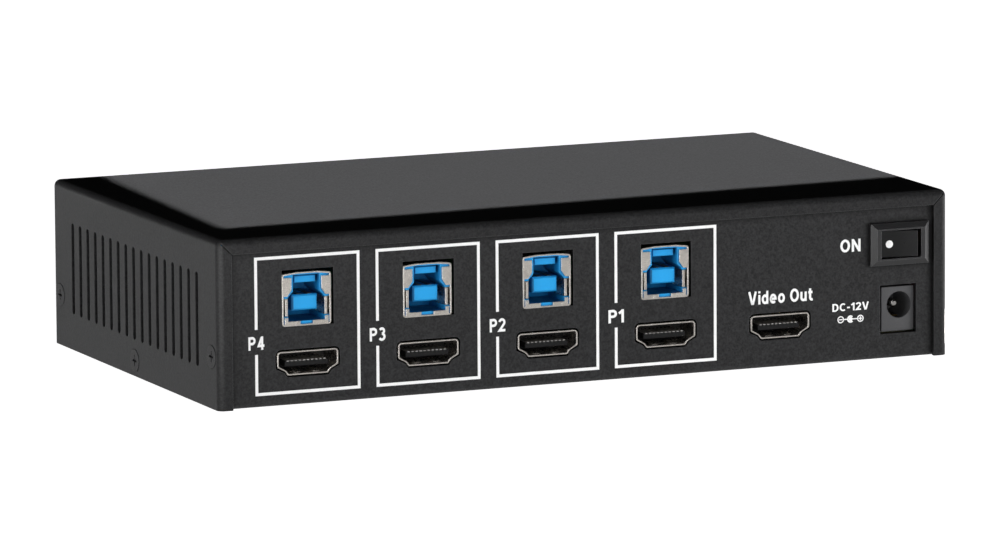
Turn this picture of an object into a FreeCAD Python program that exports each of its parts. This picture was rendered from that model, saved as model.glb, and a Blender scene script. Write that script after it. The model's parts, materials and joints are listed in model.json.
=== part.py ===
import FreeCAD, Part
import math
import os

from FreeCAD import Vector

# A four-port desktop KVM switch: a folded steel cover over a folded steel chassis, two stacked
# circuit boards, a row of rear sockets, a rocker power switch and four front selector buttons.
# Frame: millimetres, +Z up, the rear panel faces +Y, the buttons face -Y, and the origin is on
# the surface it stands on, under the middle of the case.

# ---------------------------------------------------------------- driving dimensions
CASE_WIDTH = 184.0
CASE_DEPTH = 107.5
CASE_HEIGHT = 39.4
SHEET = 1.0                    # steel sheet of the cover and the chassis
BEND_RADIUS = 1.6              # outside radius of the cover's bends
FLANGE = 3.5                   # return flange round both ends of the cover
FOOT_HEIGHT = 1.5
FOOT_RADIUS = 5.0
FOOT_X = 77.0
FOOT_Y = 38.0

BASE = FOOT_HEIGHT             # underside of the case
LID = BASE + CASE_HEIGHT       # top of the case
HALF_W = CASE_WIDTH / 2
HALF_D = CASE_DEPTH / 2
REAR = HALF_D - SHEET          # outer face of the rear panel; the front panel's is -REAR
CHASSIS_HALF_W = HALF_W - SHEET - 0.1
CHASSIS_TOP = LID - SHEET - 0.7
CHASSIS_BEND = 1.3
END_TAB = 8.0                  # length of the tabs folded in from the end panels
MIDDLE_TAB = 8.0               # half length, and height, of the tab folded up from the floor

# side ventilation slots and the screws that hold the cover
SLOT_COUNT = 17
SLOT_PITCH = 5.05
SLOT_WIDTH = 1.9
SLOT_BOTTOM = BASE + 8.6
SLOT_TOP = BASE + 30.5
SCREW_END_Y = 49.3
SCREW_END_Z = BASE + 12.1
SCREW_MID_Z = BASE + 3.7
SCREW_HEAD_RADIUS = 2.65
SCREW_HEAD_PROUD = 0.1
SCREW_HEAD_LAND = 0.25         # straight rim of the countersunk head
SCREW_LENGTH = 5.0
SCREW_RADIUS = 1.45
CROSS_ARM = 1.35               # half length of the cross recess in every screw head
CROSS_HALF = 0.28              # and half the width of its slots
PAN_HEAD_RADIUS = 2.75
PAN_HEAD_HEIGHT = 1.9
TAPPED_RADIUS = 1.5
CLEAR_RADIUS = 1.65

# circuit boards
BOARD = 1.6
MAIN_TOP = BASE + 6.0
UPPER_TOP = BASE + 18.3
MAIN_X = (-86.5, 86.5)
MAIN_Y = (-38.0, 50.4)
UPPER_X = (-62.0, 87.0)
UPPER_Y = (-38.0, 50.4)
UPPER_FRONT_X = 22.0           # beyond this the upper board runs forward to the front sockets
UPPER_FRONT_Y = -50.4
SPACER_SPOTS = [(82.0, 34.0), (-57.0, 34.0), (82.0, -31.0), (-57.0, -31.0)]
SHORT_SPOTS = [(-82.0, 28.0), (-82.0, -31.0)]
HEX = 5.0                      # across flats of every spacer
SPACER_STUD_RADIUS = 2.1       # clinched end of each standoff, in the chassis floor
PANEL_STUD = 0.6               # how deep the button board's standoffs are set into the front panel

# rear sockets
PORT_PITCH = 29.87
PORT_FIRST_X = -19.87          # port 1; ports 2 to 4 follow towards +X
PORT_NAMES = ["p1", "p2", "p3", "p4"]
VIDEO_OUT_X = -49.1
VIDEO_Z = BASE + 7.0           # underside of the video sockets' shells
VIDEO_WIDTH = 15.0
VIDEO_HEIGHT = 5.55
VIDEO_DEPTH = 11.5
VIDEO_WALL = 0.33
VIDEO_TOP_ROUND = 0.9          # radius of the outline's two upper corners
VIDEO_LOW_ROUND = 0.45         # and of its lower corners and steps
VIDEO_MARGIN = 0.45            # gap between the shell and its panel cut-out
VIDEO_CAVITY = 7.4             # depth of the open space in front of the insulator
TONGUE_LOW = 1.95
TONGUE_HIGH = 3.05
TONGUE_HALF = 5.3
UPLINK_OFFSET = 0.15
UPLINK_WIDTH = 12.0
UPLINK_HEIGHT = 12.4
UPLINK_DEPTH = 16.0
UPLINK_WALL = 0.35
UPLINK_CROWN = 0.35            # rise of the shell's top between its two side slopes
UPLINK_CAVITY = 9.5
UPLINK_WIDE_GAP = 0.65         # panel cut-out beyond the shell: on its -X side and above
UPLINK_CLOSE_GAP = 0.1         # and on its +X side
FINGER_LOW = 2.3
FINGER_HIGH = 6.3

# direct-current inlet
JACK_X = -80.35                # axis of the bore and the pin
JACK_BODY_X = -80.0
JACK_CUTOUT_X = -79.65
JACK_CUTOUT_HALF = 4.7
JACK_CUTOUT_RISE = 0.7         # top of the panel cut-out above the body
JACK_RECESS = 1.1
JACK_WIDTH = 8.3
JACK_LIFT = 0.4                # the front of the body stands clear of the board
JACK_HEIGHT = 10.8
JACK_DEPTH = 14.0
JACK_AXIS_Z = MAIN_TOP + 6.5
JACK_BORE_RADIUS = 3.15
JACK_PIN_RADIUS = 1.0
JACK_PIN_RECESS = 2.4
JACK_BORE_DEPTH = 9.5
JACK_BASE_RADIUS = 1.4         # the pin's shoulder, seated in the back of the body

# rocker switch
ROCKER_X = -79.65
ROCKER_Z = BASE + 27.3
BEZEL_WIDTH = 15.0
BEZEL_HEIGHT = 10.0
BEZEL_PROUD = 1.8
BEZEL_SIDE = 0.9               # height of the bezel's straight edge, below its bevel
BEZEL_BEVEL = 1.3
ROCKER_BODY_WIDTH = 13.2
ROCKER_BODY_HEIGHT = 8.3
ROCKER_OPENING_WIDTH = 10.35
ROCKER_OPENING_HEIGHT = 6.75
ROCKER_PIVOT_Y = REAR - 0.8
PANEL_V = REAR - ROCKER_PIVOT_Y   # the panel's face, from the paddle's pivot
HOUSING_BACK = PANEL_V - 10.2
HOUSING_FLOOR = PANEL_V - 8.9
ROCKER_FACE = 2.4              # from the pivot to the paddle's end edges
ROCKER_HALF_LENGTH = 4.6
ROCKER_HOLLOW = 0.45
PADDLE_HEIGHT = 6.05
ROCKER_TILT = 10.0             # each side of centre; stored pressed at its +X end
TRUNNION_RADIUS = 0.95
TRUNNION_PLAY = 0.05
LEVER_DROP = 4.9               # from the paddle's pivot to the contact lever's
LEVER_TILT = 6.0
LEVER_HALF_LENGTH = 4.2
LEVER_THICK = 0.4
LEAD_RADIUS = 0.75
LEAD_BEND = 8.0

# front panel
BUTTON_COUNT = 4
BUTTON_PITCH = 20.0
BUTTON_FIRST_X = -66.0
BUTTON_Z = BASE + 15.0
BUTTON_RADIUS = 4.5
BUTTON_PROUD = 2.25
BUTTON_TRAVEL = 0.6
BUTTON_PLAY = 0.25
LED_Z = BASE + 27.0
LED_RADIUS = 1.5
BUTTON_BOARD_FACE = -42.2      # front face of the vertical button board
BUTTON_BOARD_X = (-77.0, 5.0)
BUTTON_BOARD_Z = (BASE + 9.0, BASE + 34.0)
PANEL_SPOTS = [(-56.0, BASE + 21.0), (-16.0, BASE + 21.0)]
SWITCH_HEIGHT = 3.5
SWITCH_TIP = BUTTON_BOARD_FACE - 5.0
FRONT_SOCKETS = {"left": 36.0, "right": 62.0}
STACK_WIDTH = 13.1
STACK_HEIGHT = 15.6
STACK_DEPTH = 17.4
STACK_WALL = 0.35
STACK_PORTS = [0.75, 9.0]      # underside of each port's opening above the board
PORT_HEIGHT = 5.15
STACK_CAVITY = 11.6

# electronics
CHIP_X = 22.0
CHIP_Y = 4.0
CHIP_SIDE = 14.0
CHIP_HEIGHT = 1.4
HEAT_SINK_SIDE = 24.0
HEAT_SINK_HEIGHT = 7.5
USB_CHIPS = [(50.0, -12.0, 10.0, 1.0), (8.0, 14.0, 9.0, 0.9), (-30.0, -14.0, 9.0, 0.9)]
CAPACITORS = [(-72.0, 4.0, 4.1, 10.0), (-72.0, -8.0, 4.1, 10.0), (-60.0, 14.0, 3.2, 7.7)]
PIN_PITCH = 2.54
HEADER_X = -25.0               # header that joins the two stacked boards
HEADER_Y = 5.0
BUTTON_ROW_X = -36.0           # right-angle row that joins the button board

X_AXIS = Vector(1, 0, 0)
Y_AXIS = Vector(0, 1, 0)
Z_AXIS = Vector(0, 0, 1)
parts = {}


# ---------------------------------------------------------------- shape helpers
def block(x0, x1, y0, y1, z0, z1):
    return Part.makeBox(x1 - x0, y1 - y0, z1 - z0, Vector(x0, y0, z0))


def rod(start, axis, radius, length):
    return Part.makeCylinder(radius, length, Vector(*start), axis)


def wire_of(points):
    return Part.makePolygon([Vector(*p) for p in points] + [Vector(*points[0])])


def prism_y(outline, y0, y1):
    """Extrude an (x, z) outline from y0 to y1."""
    face = Part.Face(wire_of([(x, y0, z) for x, z in outline]))
    return face.extrude(Vector(0, y1 - y0, 0))


def prism_z(outline, z0, z1):
    """Extrude an (x, y) outline from z0 to z1."""
    face = Part.Face(wire_of([(x, y, z0) for x, y in outline]))
    return face.extrude(Vector(0, 0, z1 - z0))


def hexagon(x, y, z0, z1, axis=Z_AXIS, flats=HEX):
    """A hexagonal prism standing on (x, y, z0) along +Z, or on (x, z0, y) along +Y."""
    radius = flats / math.sqrt(3)
    points = []
    for i in range(6):
        a = math.radians(60 * i)
        points.append((x + radius * math.cos(a), y + radius * math.sin(a)))
    if axis is Y_AXIS:
        return prism_y(points, z0, z1)
    return prism_z(points, z0, z1)


def fuse(shapes):
    result = shapes[0]
    for shape in shapes[1:]:
        result = result.fuse(shape)
    return result.removeSplitter()


def cut(shape, tools):
    return shape.cut(Part.makeCompound(tools)).removeSplitter()


def group(shapes):
    return Part.makeCompound(shapes)


def edges_where(shape, test):
    return [edge for edge in shape.Edges if test(edge)]


def runs_along(edge, axis):
    direction = edge.tangentAt(edge.FirstParameter)
    return abs(direction.dot(axis)) > 0.999


def turned(shape, pivot, axis, degrees):
    copy = shape.copy()
    copy.rotate(pivot, axis, degrees)
    return copy


def round_corners(shape, axis, radius):
    return shape.makeFillet(radius, edges_where(shape, lambda e: runs_along(e, axis)))


# ---------------------------------------------------------------- case
def case_hull(inset, radius):
    """The case's outer form, shrunk by inset, with its top and end bends rounded."""
    x = HALF_W - inset
    y = HALF_D - inset
    hull = block(-x, x, -y, y, BASE - inset, LID - inset)

    def bent(edge):
        middle = edge.CenterOfMass
        on_top = abs(middle.z - (LID - inset)) < 0.01
        return on_top or runs_along(edge, Z_AXIS)

    return hull.makeFillet(radius, edges_where(hull, bent))


def side_screw_spots():
    """(y, z) of the three cover screws on each side."""
    return [(-SCREW_END_Y, SCREW_END_Z), (0.0, SCREW_MID_Z), (SCREW_END_Y, SCREW_END_Z)]


def vent_slot(y):
    """One upright slot with round ends, long enough to cut both side walls."""
    radius = SLOT_WIDTH / 2
    low = SLOT_BOTTOM + radius
    high = SLOT_TOP - radius
    span = CASE_WIDTH + 4
    middle = block(-span / 2, span / 2, y - radius, y + radius, low, high)
    ends = [rod((-span / 2, y, z), X_AXIS, radius, span) for z in (low, high)]
    return fuse([middle] + ends)


def mitre_slit(side, end):
    """The thin open mitre between a side flange and the top flange."""
    gap = 0.14
    inner_x = HALF_W - FLANGE - 0.3
    outer_x = HALF_W - 0.85
    rise = LID - HALF_W
    outline = [(inner_x, inner_x + rise - gap), (outer_x, outer_x + rise - gap),
               (outer_x, outer_x + rise + gap), (inner_x, inner_x + rise + gap)]
    outline = [(side * x, z) for x, z in outline]
    y = end * (HALF_D - SHEET - 0.5)
    return prism_y(outline, min(y, end * (HALF_D + 1)), max(y, end * (HALF_D + 1)))


def countersunk(y, z, side, play, shank_radius, length):
    """A countersunk screw's form on one side wall, grown by play: its body, or room for it."""
    face = side * (HALF_W + SCREW_HEAD_PROUD)
    inward = Vector(-side, 0, 0)
    head_radius = SCREW_HEAD_RADIUS + play
    seat = Vector(face - side * SCREW_HEAD_LAND, y, z)
    cone = Part.makeCone(head_radius, shank_radius, head_radius - shank_radius, seat, inward)
    head = rod((face, y, z), inward, head_radius, SCREW_HEAD_LAND)
    return fuse([head, cone, rod((face, y, z), inward, shank_radius, length)])


def make_cover():
    shell = case_hull(0.0, BEND_RADIUS).cut(case_hull(SHEET, BEND_RADIUS - SHEET))
    window_x = HALF_W - FLANGE
    window_z = LID - FLANGE
    tools = [block(-window_x, window_x, -HALF_D - 2, HALF_D + 2, BASE - 2, window_z)]
    tools.append(block(-HALF_W + SHEET, HALF_W - SHEET, -REAR, REAR, BASE - 2, BASE + 2))
    first = -SLOT_PITCH * (SLOT_COUNT - 1) / 2
    tools += [vent_slot(first + SLOT_PITCH * i) for i in range(SLOT_COUNT)]
    tools += [mitre_slit(side, end) for side in (-1, 1) for end in (-1, 1)]
    for side in (-1, 1):
        tools += [countersunk(y, z, side, 0.1, CLEAR_RADIUS, 3.0) for y, z in side_screw_spots()]
    return cut(shell, tools)


def cover_screw(y, z, side):
    """Countersunk cross-recess machine screw through the cover into a chassis tab."""
    screw = countersunk(y, z, side, 0.0, SCREW_RADIUS, SCREW_LENGTH)
    face = side * (HALF_W + SCREW_HEAD_PROUD)
    arm = CROSS_ARM
    slot = CROSS_HALF
    low = min(face, face - side * 0.8)
    recess = [block(low, low + 0.8, y - arm, y + arm, z - slot, z + slot),
              block(low, low + 0.8, y - slot, y + slot, z - arm, z + arm)]
    return cut(screw, recess)


def port_x(index):
    return PORT_FIRST_X + PORT_PITCH * index


def video_prism(x, grow, y0, y1):
    """The video socket's stepped and rounded outline, grown outwards, from y0 to y1."""
    half = VIDEO_WIDTH / 2 + grow
    low = VIDEO_Z - grow
    high = VIDEO_Z + VIDEO_HEIGHT + grow
    foot = VIDEO_WIDTH / 2 - 2.6 + grow * 0.4
    step = VIDEO_WIDTH / 2 - 1.9 + grow * 0.6
    step_z = VIDEO_Z + 0.95 - grow * 0.6
    side_z = VIDEO_Z + 1.95 - grow * 0.6
    right = [(foot, low), (step, step_z), (half, side_z), (half, high)]
    left = [(-dx, z) for dx, z in reversed(right)]
    solid = prism_y([(x + dx, z) for dx, z in right + left], y0, y1)
    upright = edges_where(solid, lambda e: runs_along(e, Y_AXIS))
    upper = [edge for edge in upright if edge.CenterOfMass.z > high - 0.01]
    lower = [edge for edge in upright if edge.CenterOfMass.z < high - 0.01]
    solid = solid.makeFillet(VIDEO_TOP_ROUND + grow, upper)
    lower = [edge for edge in edges_where(solid, lambda e: runs_along(e, Y_AXIS))
             if any(edge.CenterOfMass.isEqual(old.CenterOfMass, 1e-4) for old in lower)]
    return solid.makeFillet(VIDEO_LOW_ROUND, lower)


def rear_cutouts():
    y0 = REAR - SHEET - 1
    y1 = REAR + 1
    tools = []
    ports = [port_x(i) for i in range(len(PORT_NAMES))]
    for x in ports + [VIDEO_OUT_X]:
        tools.append(video_prism(x, VIDEO_MARGIN, y0, y1))
    half = UPLINK_WIDTH / 2
    for x in ports:
        centre = x + UPLINK_OFFSET
        tools.append(block(centre - half - UPLINK_WIDE_GAP, centre + half + UPLINK_CLOSE_GAP,
                           y0, y1, UPPER_TOP - 0.05,
                           UPPER_TOP + UPLINK_HEIGHT + UPLINK_WIDE_GAP))
    tools.append(block(JACK_CUTOUT_X - JACK_CUTOUT_HALF, JACK_CUTOUT_X + JACK_CUTOUT_HALF, y0, y1,
                       MAIN_TOP - 0.1, MAIN_TOP + JACK_HEIGHT + JACK_CUTOUT_RISE))
    body_x = ROCKER_BODY_WIDTH / 2 + 0.1
    body_z = ROCKER_BODY_HEIGHT / 2 + 0.1
    tools.append(block(ROCKER_X - body_x, ROCKER_X + body_x, y0, y1,
                       ROCKER_Z - body_z, ROCKER_Z + body_z))
    return tools


def button_x(index):
    return BUTTON_FIRST_X + BUTTON_PITCH * index


def front_cutouts():
    y0 = -REAR - 1
    length = SHEET + 2
    tools = []
    for i in range(BUTTON_COUNT):
        tools.append(rod((button_x(i), y0, BUTTON_Z), Y_AXIS, BUTTON_RADIUS + BUTTON_PLAY, length))
        tools.append(rod((button_x(i), y0, LED_Z), Y_AXIS, LED_RADIUS + 0.1, length))
    half = STACK_WIDTH / 2 + 0.25
    for x in FRONT_SOCKETS.values():
        tools.append(block(x - half, x + half, y0, y0 + length,
                           UPPER_TOP - 0.1, UPPER_TOP + STACK_HEIGHT + 0.25))
    return tools


def chassis_hull(inset, radius, top):
    """The chassis's form, shrunk by inset, with its upright and floor bends rounded."""
    x = CHASSIS_HALF_W - inset
    y = REAR - inset
    hull = block(-x, x, -y, y, BASE + inset, top)

    def bent(edge):
        along_floor = runs_along(edge, X_AXIS) and edge.CenterOfMass.z < BASE + inset + 0.01
        return along_floor or runs_along(edge, Z_AXIS)

    return hull.makeFillet(radius, edges_where(hull, bent))


def make_chassis():
    tray = chassis_hull(0.0, CHASSIS_BEND, CHASSIS_TOP)
    tray = tray.cut(chassis_hull(SHEET, CHASSIS_BEND - SHEET, CHASSIS_TOP + 5))
    tools = rear_cutouts() + front_cutouts()
    tab_y = REAR - SHEET - END_TAB
    panel_y = REAR - CHASSIS_BEND
    floor = BASE + SHEET
    for side in (-1, 1):
        x0, x1 = sorted((side * (CHASSIS_HALF_W - CHASSIS_BEND), side * (CHASSIS_HALF_W + 1)))
        tools.append(block(x0, x1, -tab_y, tab_y, BASE + MIDDLE_TAB, CHASSIS_TOP + 1))
        for end in (-1, 1):
            y0, y1 = sorted((end * MIDDLE_TAB, end * panel_y))
            tools.append(block(x0, x1, y0, y1, floor, BASE + 4.0))
            y0, y1 = sorted((end * MIDDLE_TAB, end * tab_y))
            tools.append(block(x0, x1, y0, y1, floor, BASE + MIDDLE_TAB + 1))
            y0, y1 = sorted((end * (tab_y - 1), end * panel_y))
            tools.append(block(x0, x1, y0, y1, CHASSIS_TOP - 4.0, CHASSIS_TOP + 1))
        tools += [countersunk(y, z, side, 0.1, TAPPED_RADIUS, 6.0) for y, z in side_screw_spots()]
    for x, y in SPACER_SPOTS + SHORT_SPOTS:
        tools.append(rod((x, y, BASE - 1), Z_AXIS, SPACER_STUD_RADIUS, SHEET + 2))
    for x, z in PANEL_SPOTS:
        tools.append(rod((x, -REAR + SHEET - PANEL_STUD, z), Y_AXIS, TAPPED_RADIUS, 2.0))
    return cut(tray, tools)


def foot(x, y):
    disc = Part.makeCylinder(FOOT_RADIUS, FOOT_HEIGHT, Vector(x, y, 0))
    rim = edges_where(disc, lambda e: e.Curve.TypeId == "Part::GeomCircle"
                      and e.CenterOfMass.z < 0.01)
    return disc.makeChamfer(0.35, rim)


def make_case():
    parts["top_cover"] = make_cover()
    parts["chassis"] = make_chassis()
    screws = [cover_screw(y, z, side) for side in (-1, 1) for y, z in side_screw_spots()]
    parts["cover_screws"] = group(screws)
    feet = [foot(sx * FOOT_X, sy * FOOT_Y) for sx in (-1, 1) for sy in (-1, 1)]
    parts["rubber_feet"] = group(feet)


# ---------------------------------------------------------------- boards and their hardware
def board_holes(spots, z0, z1):
    return [rod((x, y, z0), Z_AXIS, CLEAR_RADIUS, z1 - z0) for x, y in spots]


def make_boards():
    low = MAIN_TOP - BOARD
    plate = block(*MAIN_X, *MAIN_Y, low, MAIN_TOP)
    plate = round_corners(plate, Z_AXIS, 1.5)
    parts["main_board"] = cut(plate, board_holes(SPACER_SPOTS + SHORT_SPOTS, low - 1, MAIN_TOP + 1))

    low = UPPER_TOP - BOARD
    plate = fuse([block(*UPPER_X, *UPPER_Y, low, UPPER_TOP),
                  block(UPPER_FRONT_X, UPPER_X[1], UPPER_FRONT_Y, 0.0, low, UPPER_TOP)])
    parts["usb_board"] = cut(plate, board_holes(SPACER_SPOTS, low - 1, UPPER_TOP + 1))

    back = BUTTON_BOARD_FACE + BOARD
    plate = block(*BUTTON_BOARD_X, BUTTON_BOARD_FACE, back, *BUTTON_BOARD_Z)
    plate = round_corners(plate, Y_AXIS, 1.0)
    holes = [rod((x, BUTTON_BOARD_FACE - 1, z), Y_AXIS, CLEAR_RADIUS, BOARD + 2)
             for x, z in PANEL_SPOTS]
    parts["button_board"] = cut(plate, holes)


def standoff(x, y):
    """Short hexagonal standoff clinched into the chassis floor, open at the top."""
    floor = BASE + SHEET
    top = MAIN_TOP - BOARD
    body = fuse([hexagon(x, y, floor, top),
                 rod((x, y, BASE), Z_AXIS, SPACER_STUD_RADIUS, SHEET)])
    return cut(body, [rod((x, y, BASE + 0.4), Z_AXIS, TAPPED_RADIUS, top - BASE)])


def spacer(x, y):
    """Tall hexagonal spacer: a stud into the standoff below, a tapped hole on top."""
    top = UPPER_TOP - BOARD
    stud_low = MAIN_TOP - BOARD - 2.6
    body = fuse([hexagon(x, y, MAIN_TOP, top),
                 rod((x, y, stud_low), Z_AXIS, SCREW_RADIUS, MAIN_TOP - stud_low)])
    return cut(body, [rod((x, y, top - 7.0), Z_AXIS, TAPPED_RADIUS, 8.0)])


def panel_standoff(x, z):
    """Spacer from the front panel back to the button board, with a stud into the panel."""
    start = -REAR + SHEET
    body = fuse([hexagon(x, z, start, BUTTON_BOARD_FACE, axis=Y_AXIS),
                 rod((x, start - PANEL_STUD, z), Y_AXIS, SCREW_RADIUS, PANEL_STUD)])
    hole = rod((x, BUTTON_BOARD_FACE - 6.0, z), Y_AXIS, TAPPED_RADIUS, 7.0)
    return cut(body, [hole])


def pan_screw(seat, axis, shank):
    """Pan-head screw: head above its seat along axis, shank below it."""
    seat = Vector(*seat)
    head = Part.makeCylinder(PAN_HEAD_RADIUS, PAN_HEAD_HEIGHT, seat, axis)
    rim = edges_where(head, lambda e: e.Curve.TypeId == "Part::GeomCircle"
                      and (e.CenterOfMass - seat).dot(axis) > PAN_HEAD_HEIGHT - 0.1)
    head = head.makeFillet(0.7, rim)
    body = fuse([head, Part.makeCylinder(SCREW_RADIUS, shank, seat, axis * -1)])
    across = X_AXIS
    other = axis.cross(across)
    recess = []
    for along, beside in ((across, other), (other, across)):
        corner = seat + axis * 0.9 - along * CROSS_ARM - beside * CROSS_HALF
        length = along * 2 * CROSS_ARM
        width = beside * 2 * CROSS_HALF
        points = [corner, corner + length, corner + length + width, corner + width]
        face = Part.Face(Part.makePolygon(points + [points[0]]))
        recess.append(face.extrude(axis * 2.0))
    return cut(body, recess)


def make_hardware():
    short = [standoff(x, y) for x, y in SPACER_SPOTS + SHORT_SPOTS]
    parts["standoffs"] = group(short)
    parts["board_spacers"] = group([spacer(x, y) for x, y in SPACER_SPOTS])
    parts["panel_standoffs"] = group([panel_standoff(x, z) for x, z in PANEL_SPOTS])
    screws = [pan_screw((x, y, UPPER_TOP), Z_AXIS, 5.5) for x, y in SPACER_SPOTS]
    screws += [pan_screw((x, y, MAIN_TOP), Z_AXIS, 4.0) for x, y in SHORT_SPOTS]
    back = BUTTON_BOARD_FACE + BOARD
    screws += [pan_screw((x, back, z), Y_AXIS, 5.5) for x, z in PANEL_SPOTS]
    parts["board_screws"] = group(screws)


# ---------------------------------------------------------------- rear sockets
def leaf_spring(x, z, lean):
    """A leaf pressed out of a video shell's floor (lean 1) or roof (lean -1)."""
    width = 1.5
    thick = 0.2 * lean
    path = [(1.0, 0.0), (3.6, 0.5), (6.0, 0.0)]
    upper = [Vector(x - width / 2, REAR - d, z + lean * rise + thick) for d, rise in path]
    under = [Vector(x - width / 2, REAR - d, z + lean * rise - thick) for d, rise in path]
    face = Part.Face(Part.makePolygon(upper + under[::-1] + upper[:1]))
    return face.extrude(Vector(width, 0, 0))


def video_shell(x):
    """Nickel-plated tube in the socket's stepped outline, with leaf springs and four legs."""
    y0 = REAR - VIDEO_DEPTH
    tube = video_prism(x, 0.0, y0, REAR)
    hollow = video_prism(x, -VIDEO_WALL, y0 - 1, REAR + 1)
    tube = tube.cut(hollow)
    half = VIDEO_WIDTH / 2
    floor = VIDEO_Z + VIDEO_WALL
    roof = VIDEO_Z + VIDEO_HEIGHT - VIDEO_WALL
    pieces = [tube]
    for offset in (-2.4, 2.4):
        pieces.append(leaf_spring(x + offset, floor, 1))
        pieces.append(leaf_spring(x + offset * 1.5, roof, -1))
    for side in (-1, 1):
        outer = x + side * half
        inner = x + side * (half - VIDEO_WALL)
        for depth in (3.2, 9.6):
            pieces.append(block(min(outer, inner), max(outer, inner), REAR - depth - 1.4,
                                REAR - depth, MAIN_TOP, VIDEO_Z + 3.4))
    return fuse(pieces)


def video_core(x):
    """Moulded insulator: a plug in the back of the shell, the tongue, and a foot to the board."""
    y_back = REAR - VIDEO_DEPTH
    plug = video_prism(x, -VIDEO_WALL, y_back, REAR - VIDEO_CAVITY)
    tongue = block(x - TONGUE_HALF, x + TONGUE_HALF, REAR - VIDEO_CAVITY - 1, REAR - 0.9,
                   VIDEO_Z + TONGUE_LOW, VIDEO_Z + TONGUE_HIGH)
    cap = block(x - 6.9, x + 6.9, y_back - 1.2, y_back, MAIN_TOP, VIDEO_Z + VIDEO_HEIGHT)
    base = block(x - 4.9, x + 4.9, y_back - 1.2, REAR - 2.6, MAIN_TOP, VIDEO_Z)
    return fuse([plug, tongue, cap, base])


def video_contacts(x):
    """Ten contacts on the tongue's upper side and nine on its lower side."""
    back = REAR - VIDEO_CAVITY
    high = VIDEO_Z + TONGUE_HIGH
    low = VIDEO_Z + TONGUE_LOW
    strips = []
    for i in range(10):
        u = x + (i - 4.5) * 1.0
        strips.append(block(u - 0.27, u + 0.27, back, REAR - 1.0, high, high + 0.22))
    for i in range(9):
        u = x + (i - 4) * 1.0
        strips.append(block(u - 0.22, u + 0.22, back, REAR - 3.4, low - 0.12, low))
    return strips


def uplink_at(x, u0, u1, y0, y1, w0, w1):
    """A block inside an uplink socket: u from its centre line, w above the upper board."""
    return block(x + u0, x + u1, y0, y1, UPPER_TOP + w0, UPPER_TOP + w1)


def uplink_form(x, inset, y0, y1):
    """The uplink socket's box with its crowned top, shrunk by inset."""
    half = UPLINK_WIDTH / 2 - inset
    low = UPPER_TOP + inset
    high = UPPER_TOP + UPLINK_HEIGHT - inset
    right = [(half, low), (half, high - UPLINK_CROWN), (half - 3.3, high)]
    left = [(-dx, z) for dx, z in reversed(right)]
    solid = prism_y([(x + dx, z) for dx, z in right + left], y0, y1)
    sides = edges_where(solid, lambda e: runs_along(e, Y_AXIS)
                        and abs(abs(e.CenterOfMass.x - x) - half) < 0.01)
    return solid.makeFillet(0.6 - inset, sides)


def uplink_finger(x, side):
    """Side spring: a narrow folded front edge, a straight leaf and its root in the wall."""
    wall = UPLINK_WIDTH / 2 - UPLINK_WALL + 0.1
    leaf = UPLINK_WIDTH / 2 - 1.45
    fold = leaf + 0.6
    thick = 0.25
    outline = [(fold, REAR - 0.3), (leaf, REAR - 0.3), (leaf, REAR - 6.0), (wall, REAR - 6.0),
               (wall, REAR - 6.0 + thick), (leaf + thick, REAR - 6.0 + thick),
               (leaf + thick, REAR - 0.3 - thick), (fold, REAR - 0.3 - thick)]
    outline = [(x + side * u, y) for u, y in outline]
    return prism_z(outline, UPPER_TOP + FINGER_LOW, UPPER_TOP + FINGER_HIGH)


def uplink_shell(x):
    """Folded steel box: open back, front flaps, and a spring finger in each side."""
    half = UPLINK_WIDTH / 2
    wall = UPLINK_WALL
    inside = half - wall
    y0 = REAR - UPLINK_DEPTH
    pieces = [uplink_form(x, 0.0, y0, REAR).cut(uplink_form(x, wall, y0 - 1, REAR + 1))]
    for side in (-1, 1):
        flap = [(inside + 0.1, 11.2), (half - 2.3, 11.2), (half - 2.3, 8.3), (half - 1.3, 6.9),
                (inside + 0.1, 6.9)]
        flap = [(x + side * u, UPPER_TOP + w) for u, w in flap]
        pieces.append(prism_y(flap, REAR - wall, REAR))
        lip = sorted((side * (half - 4.45), side * (half - 0.65)))
        pieces.append(uplink_at(x, *lip, REAR - wall, REAR, wall - 0.1, 1.1))
        corner = sorted((side * (half - 1.45), side * (half - 0.65)))
        pieces.append(uplink_at(x, *corner, REAR - wall, REAR, 1.0, 2.0))
        pieces.append(uplink_finger(x, side))
    return fuse(pieces)


def chamfered_tongue(x, half, front, low, high, bevel):
    """A tongue out of the cavity's back wall whose front face is bevelled all round."""
    solid = uplink_at(x, -half, half, REAR - UPLINK_CAVITY - 1, front, low, high)
    rim = edges_where(solid, lambda e: abs(e.CenterOfMass.y - front) < 0.01)
    return solid.makeChamfer(bevel, rim)


def uplink_core(x):
    """Blue insulator with the stepped plug cavity and its two contact tongues."""
    inside = UPLINK_WIDTH / 2 - UPLINK_WALL
    front = REAR - UPLINK_WALL
    body = uplink_form(x, UPLINK_WALL, REAR - UPLINK_DEPTH, front)
    right = [(4.45, 1.05), (4.45, 6.7), (3.25, 7.9), (3.25, 11.75)]
    outline = right + [(-u, w) for u, w in reversed(right)]
    outline = [(x + u, UPPER_TOP + w) for u, w in outline]
    tools = [prism_y(outline, REAR - UPLINK_CAVITY, REAR + 1)]
    for side in (-1, 1):
        pocket = sorted((side * 4.4, side * (inside + 0.5)))
        tools.append(uplink_at(x, *pocket, REAR - 6.3, REAR + 1, FINGER_LOW - 0.1,
                               FINGER_HIGH + 0.1))
    body = body.cut(Part.makeCompound(tools))
    lower = chamfered_tongue(x, 3.15, REAR - 1.2, 3.35, 7.0, 0.4)
    upper = chamfered_tongue(x, 2.7, REAR - 1.1, 9.8, 11.45, 0.2)
    return fuse([body, lower, upper])


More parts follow.
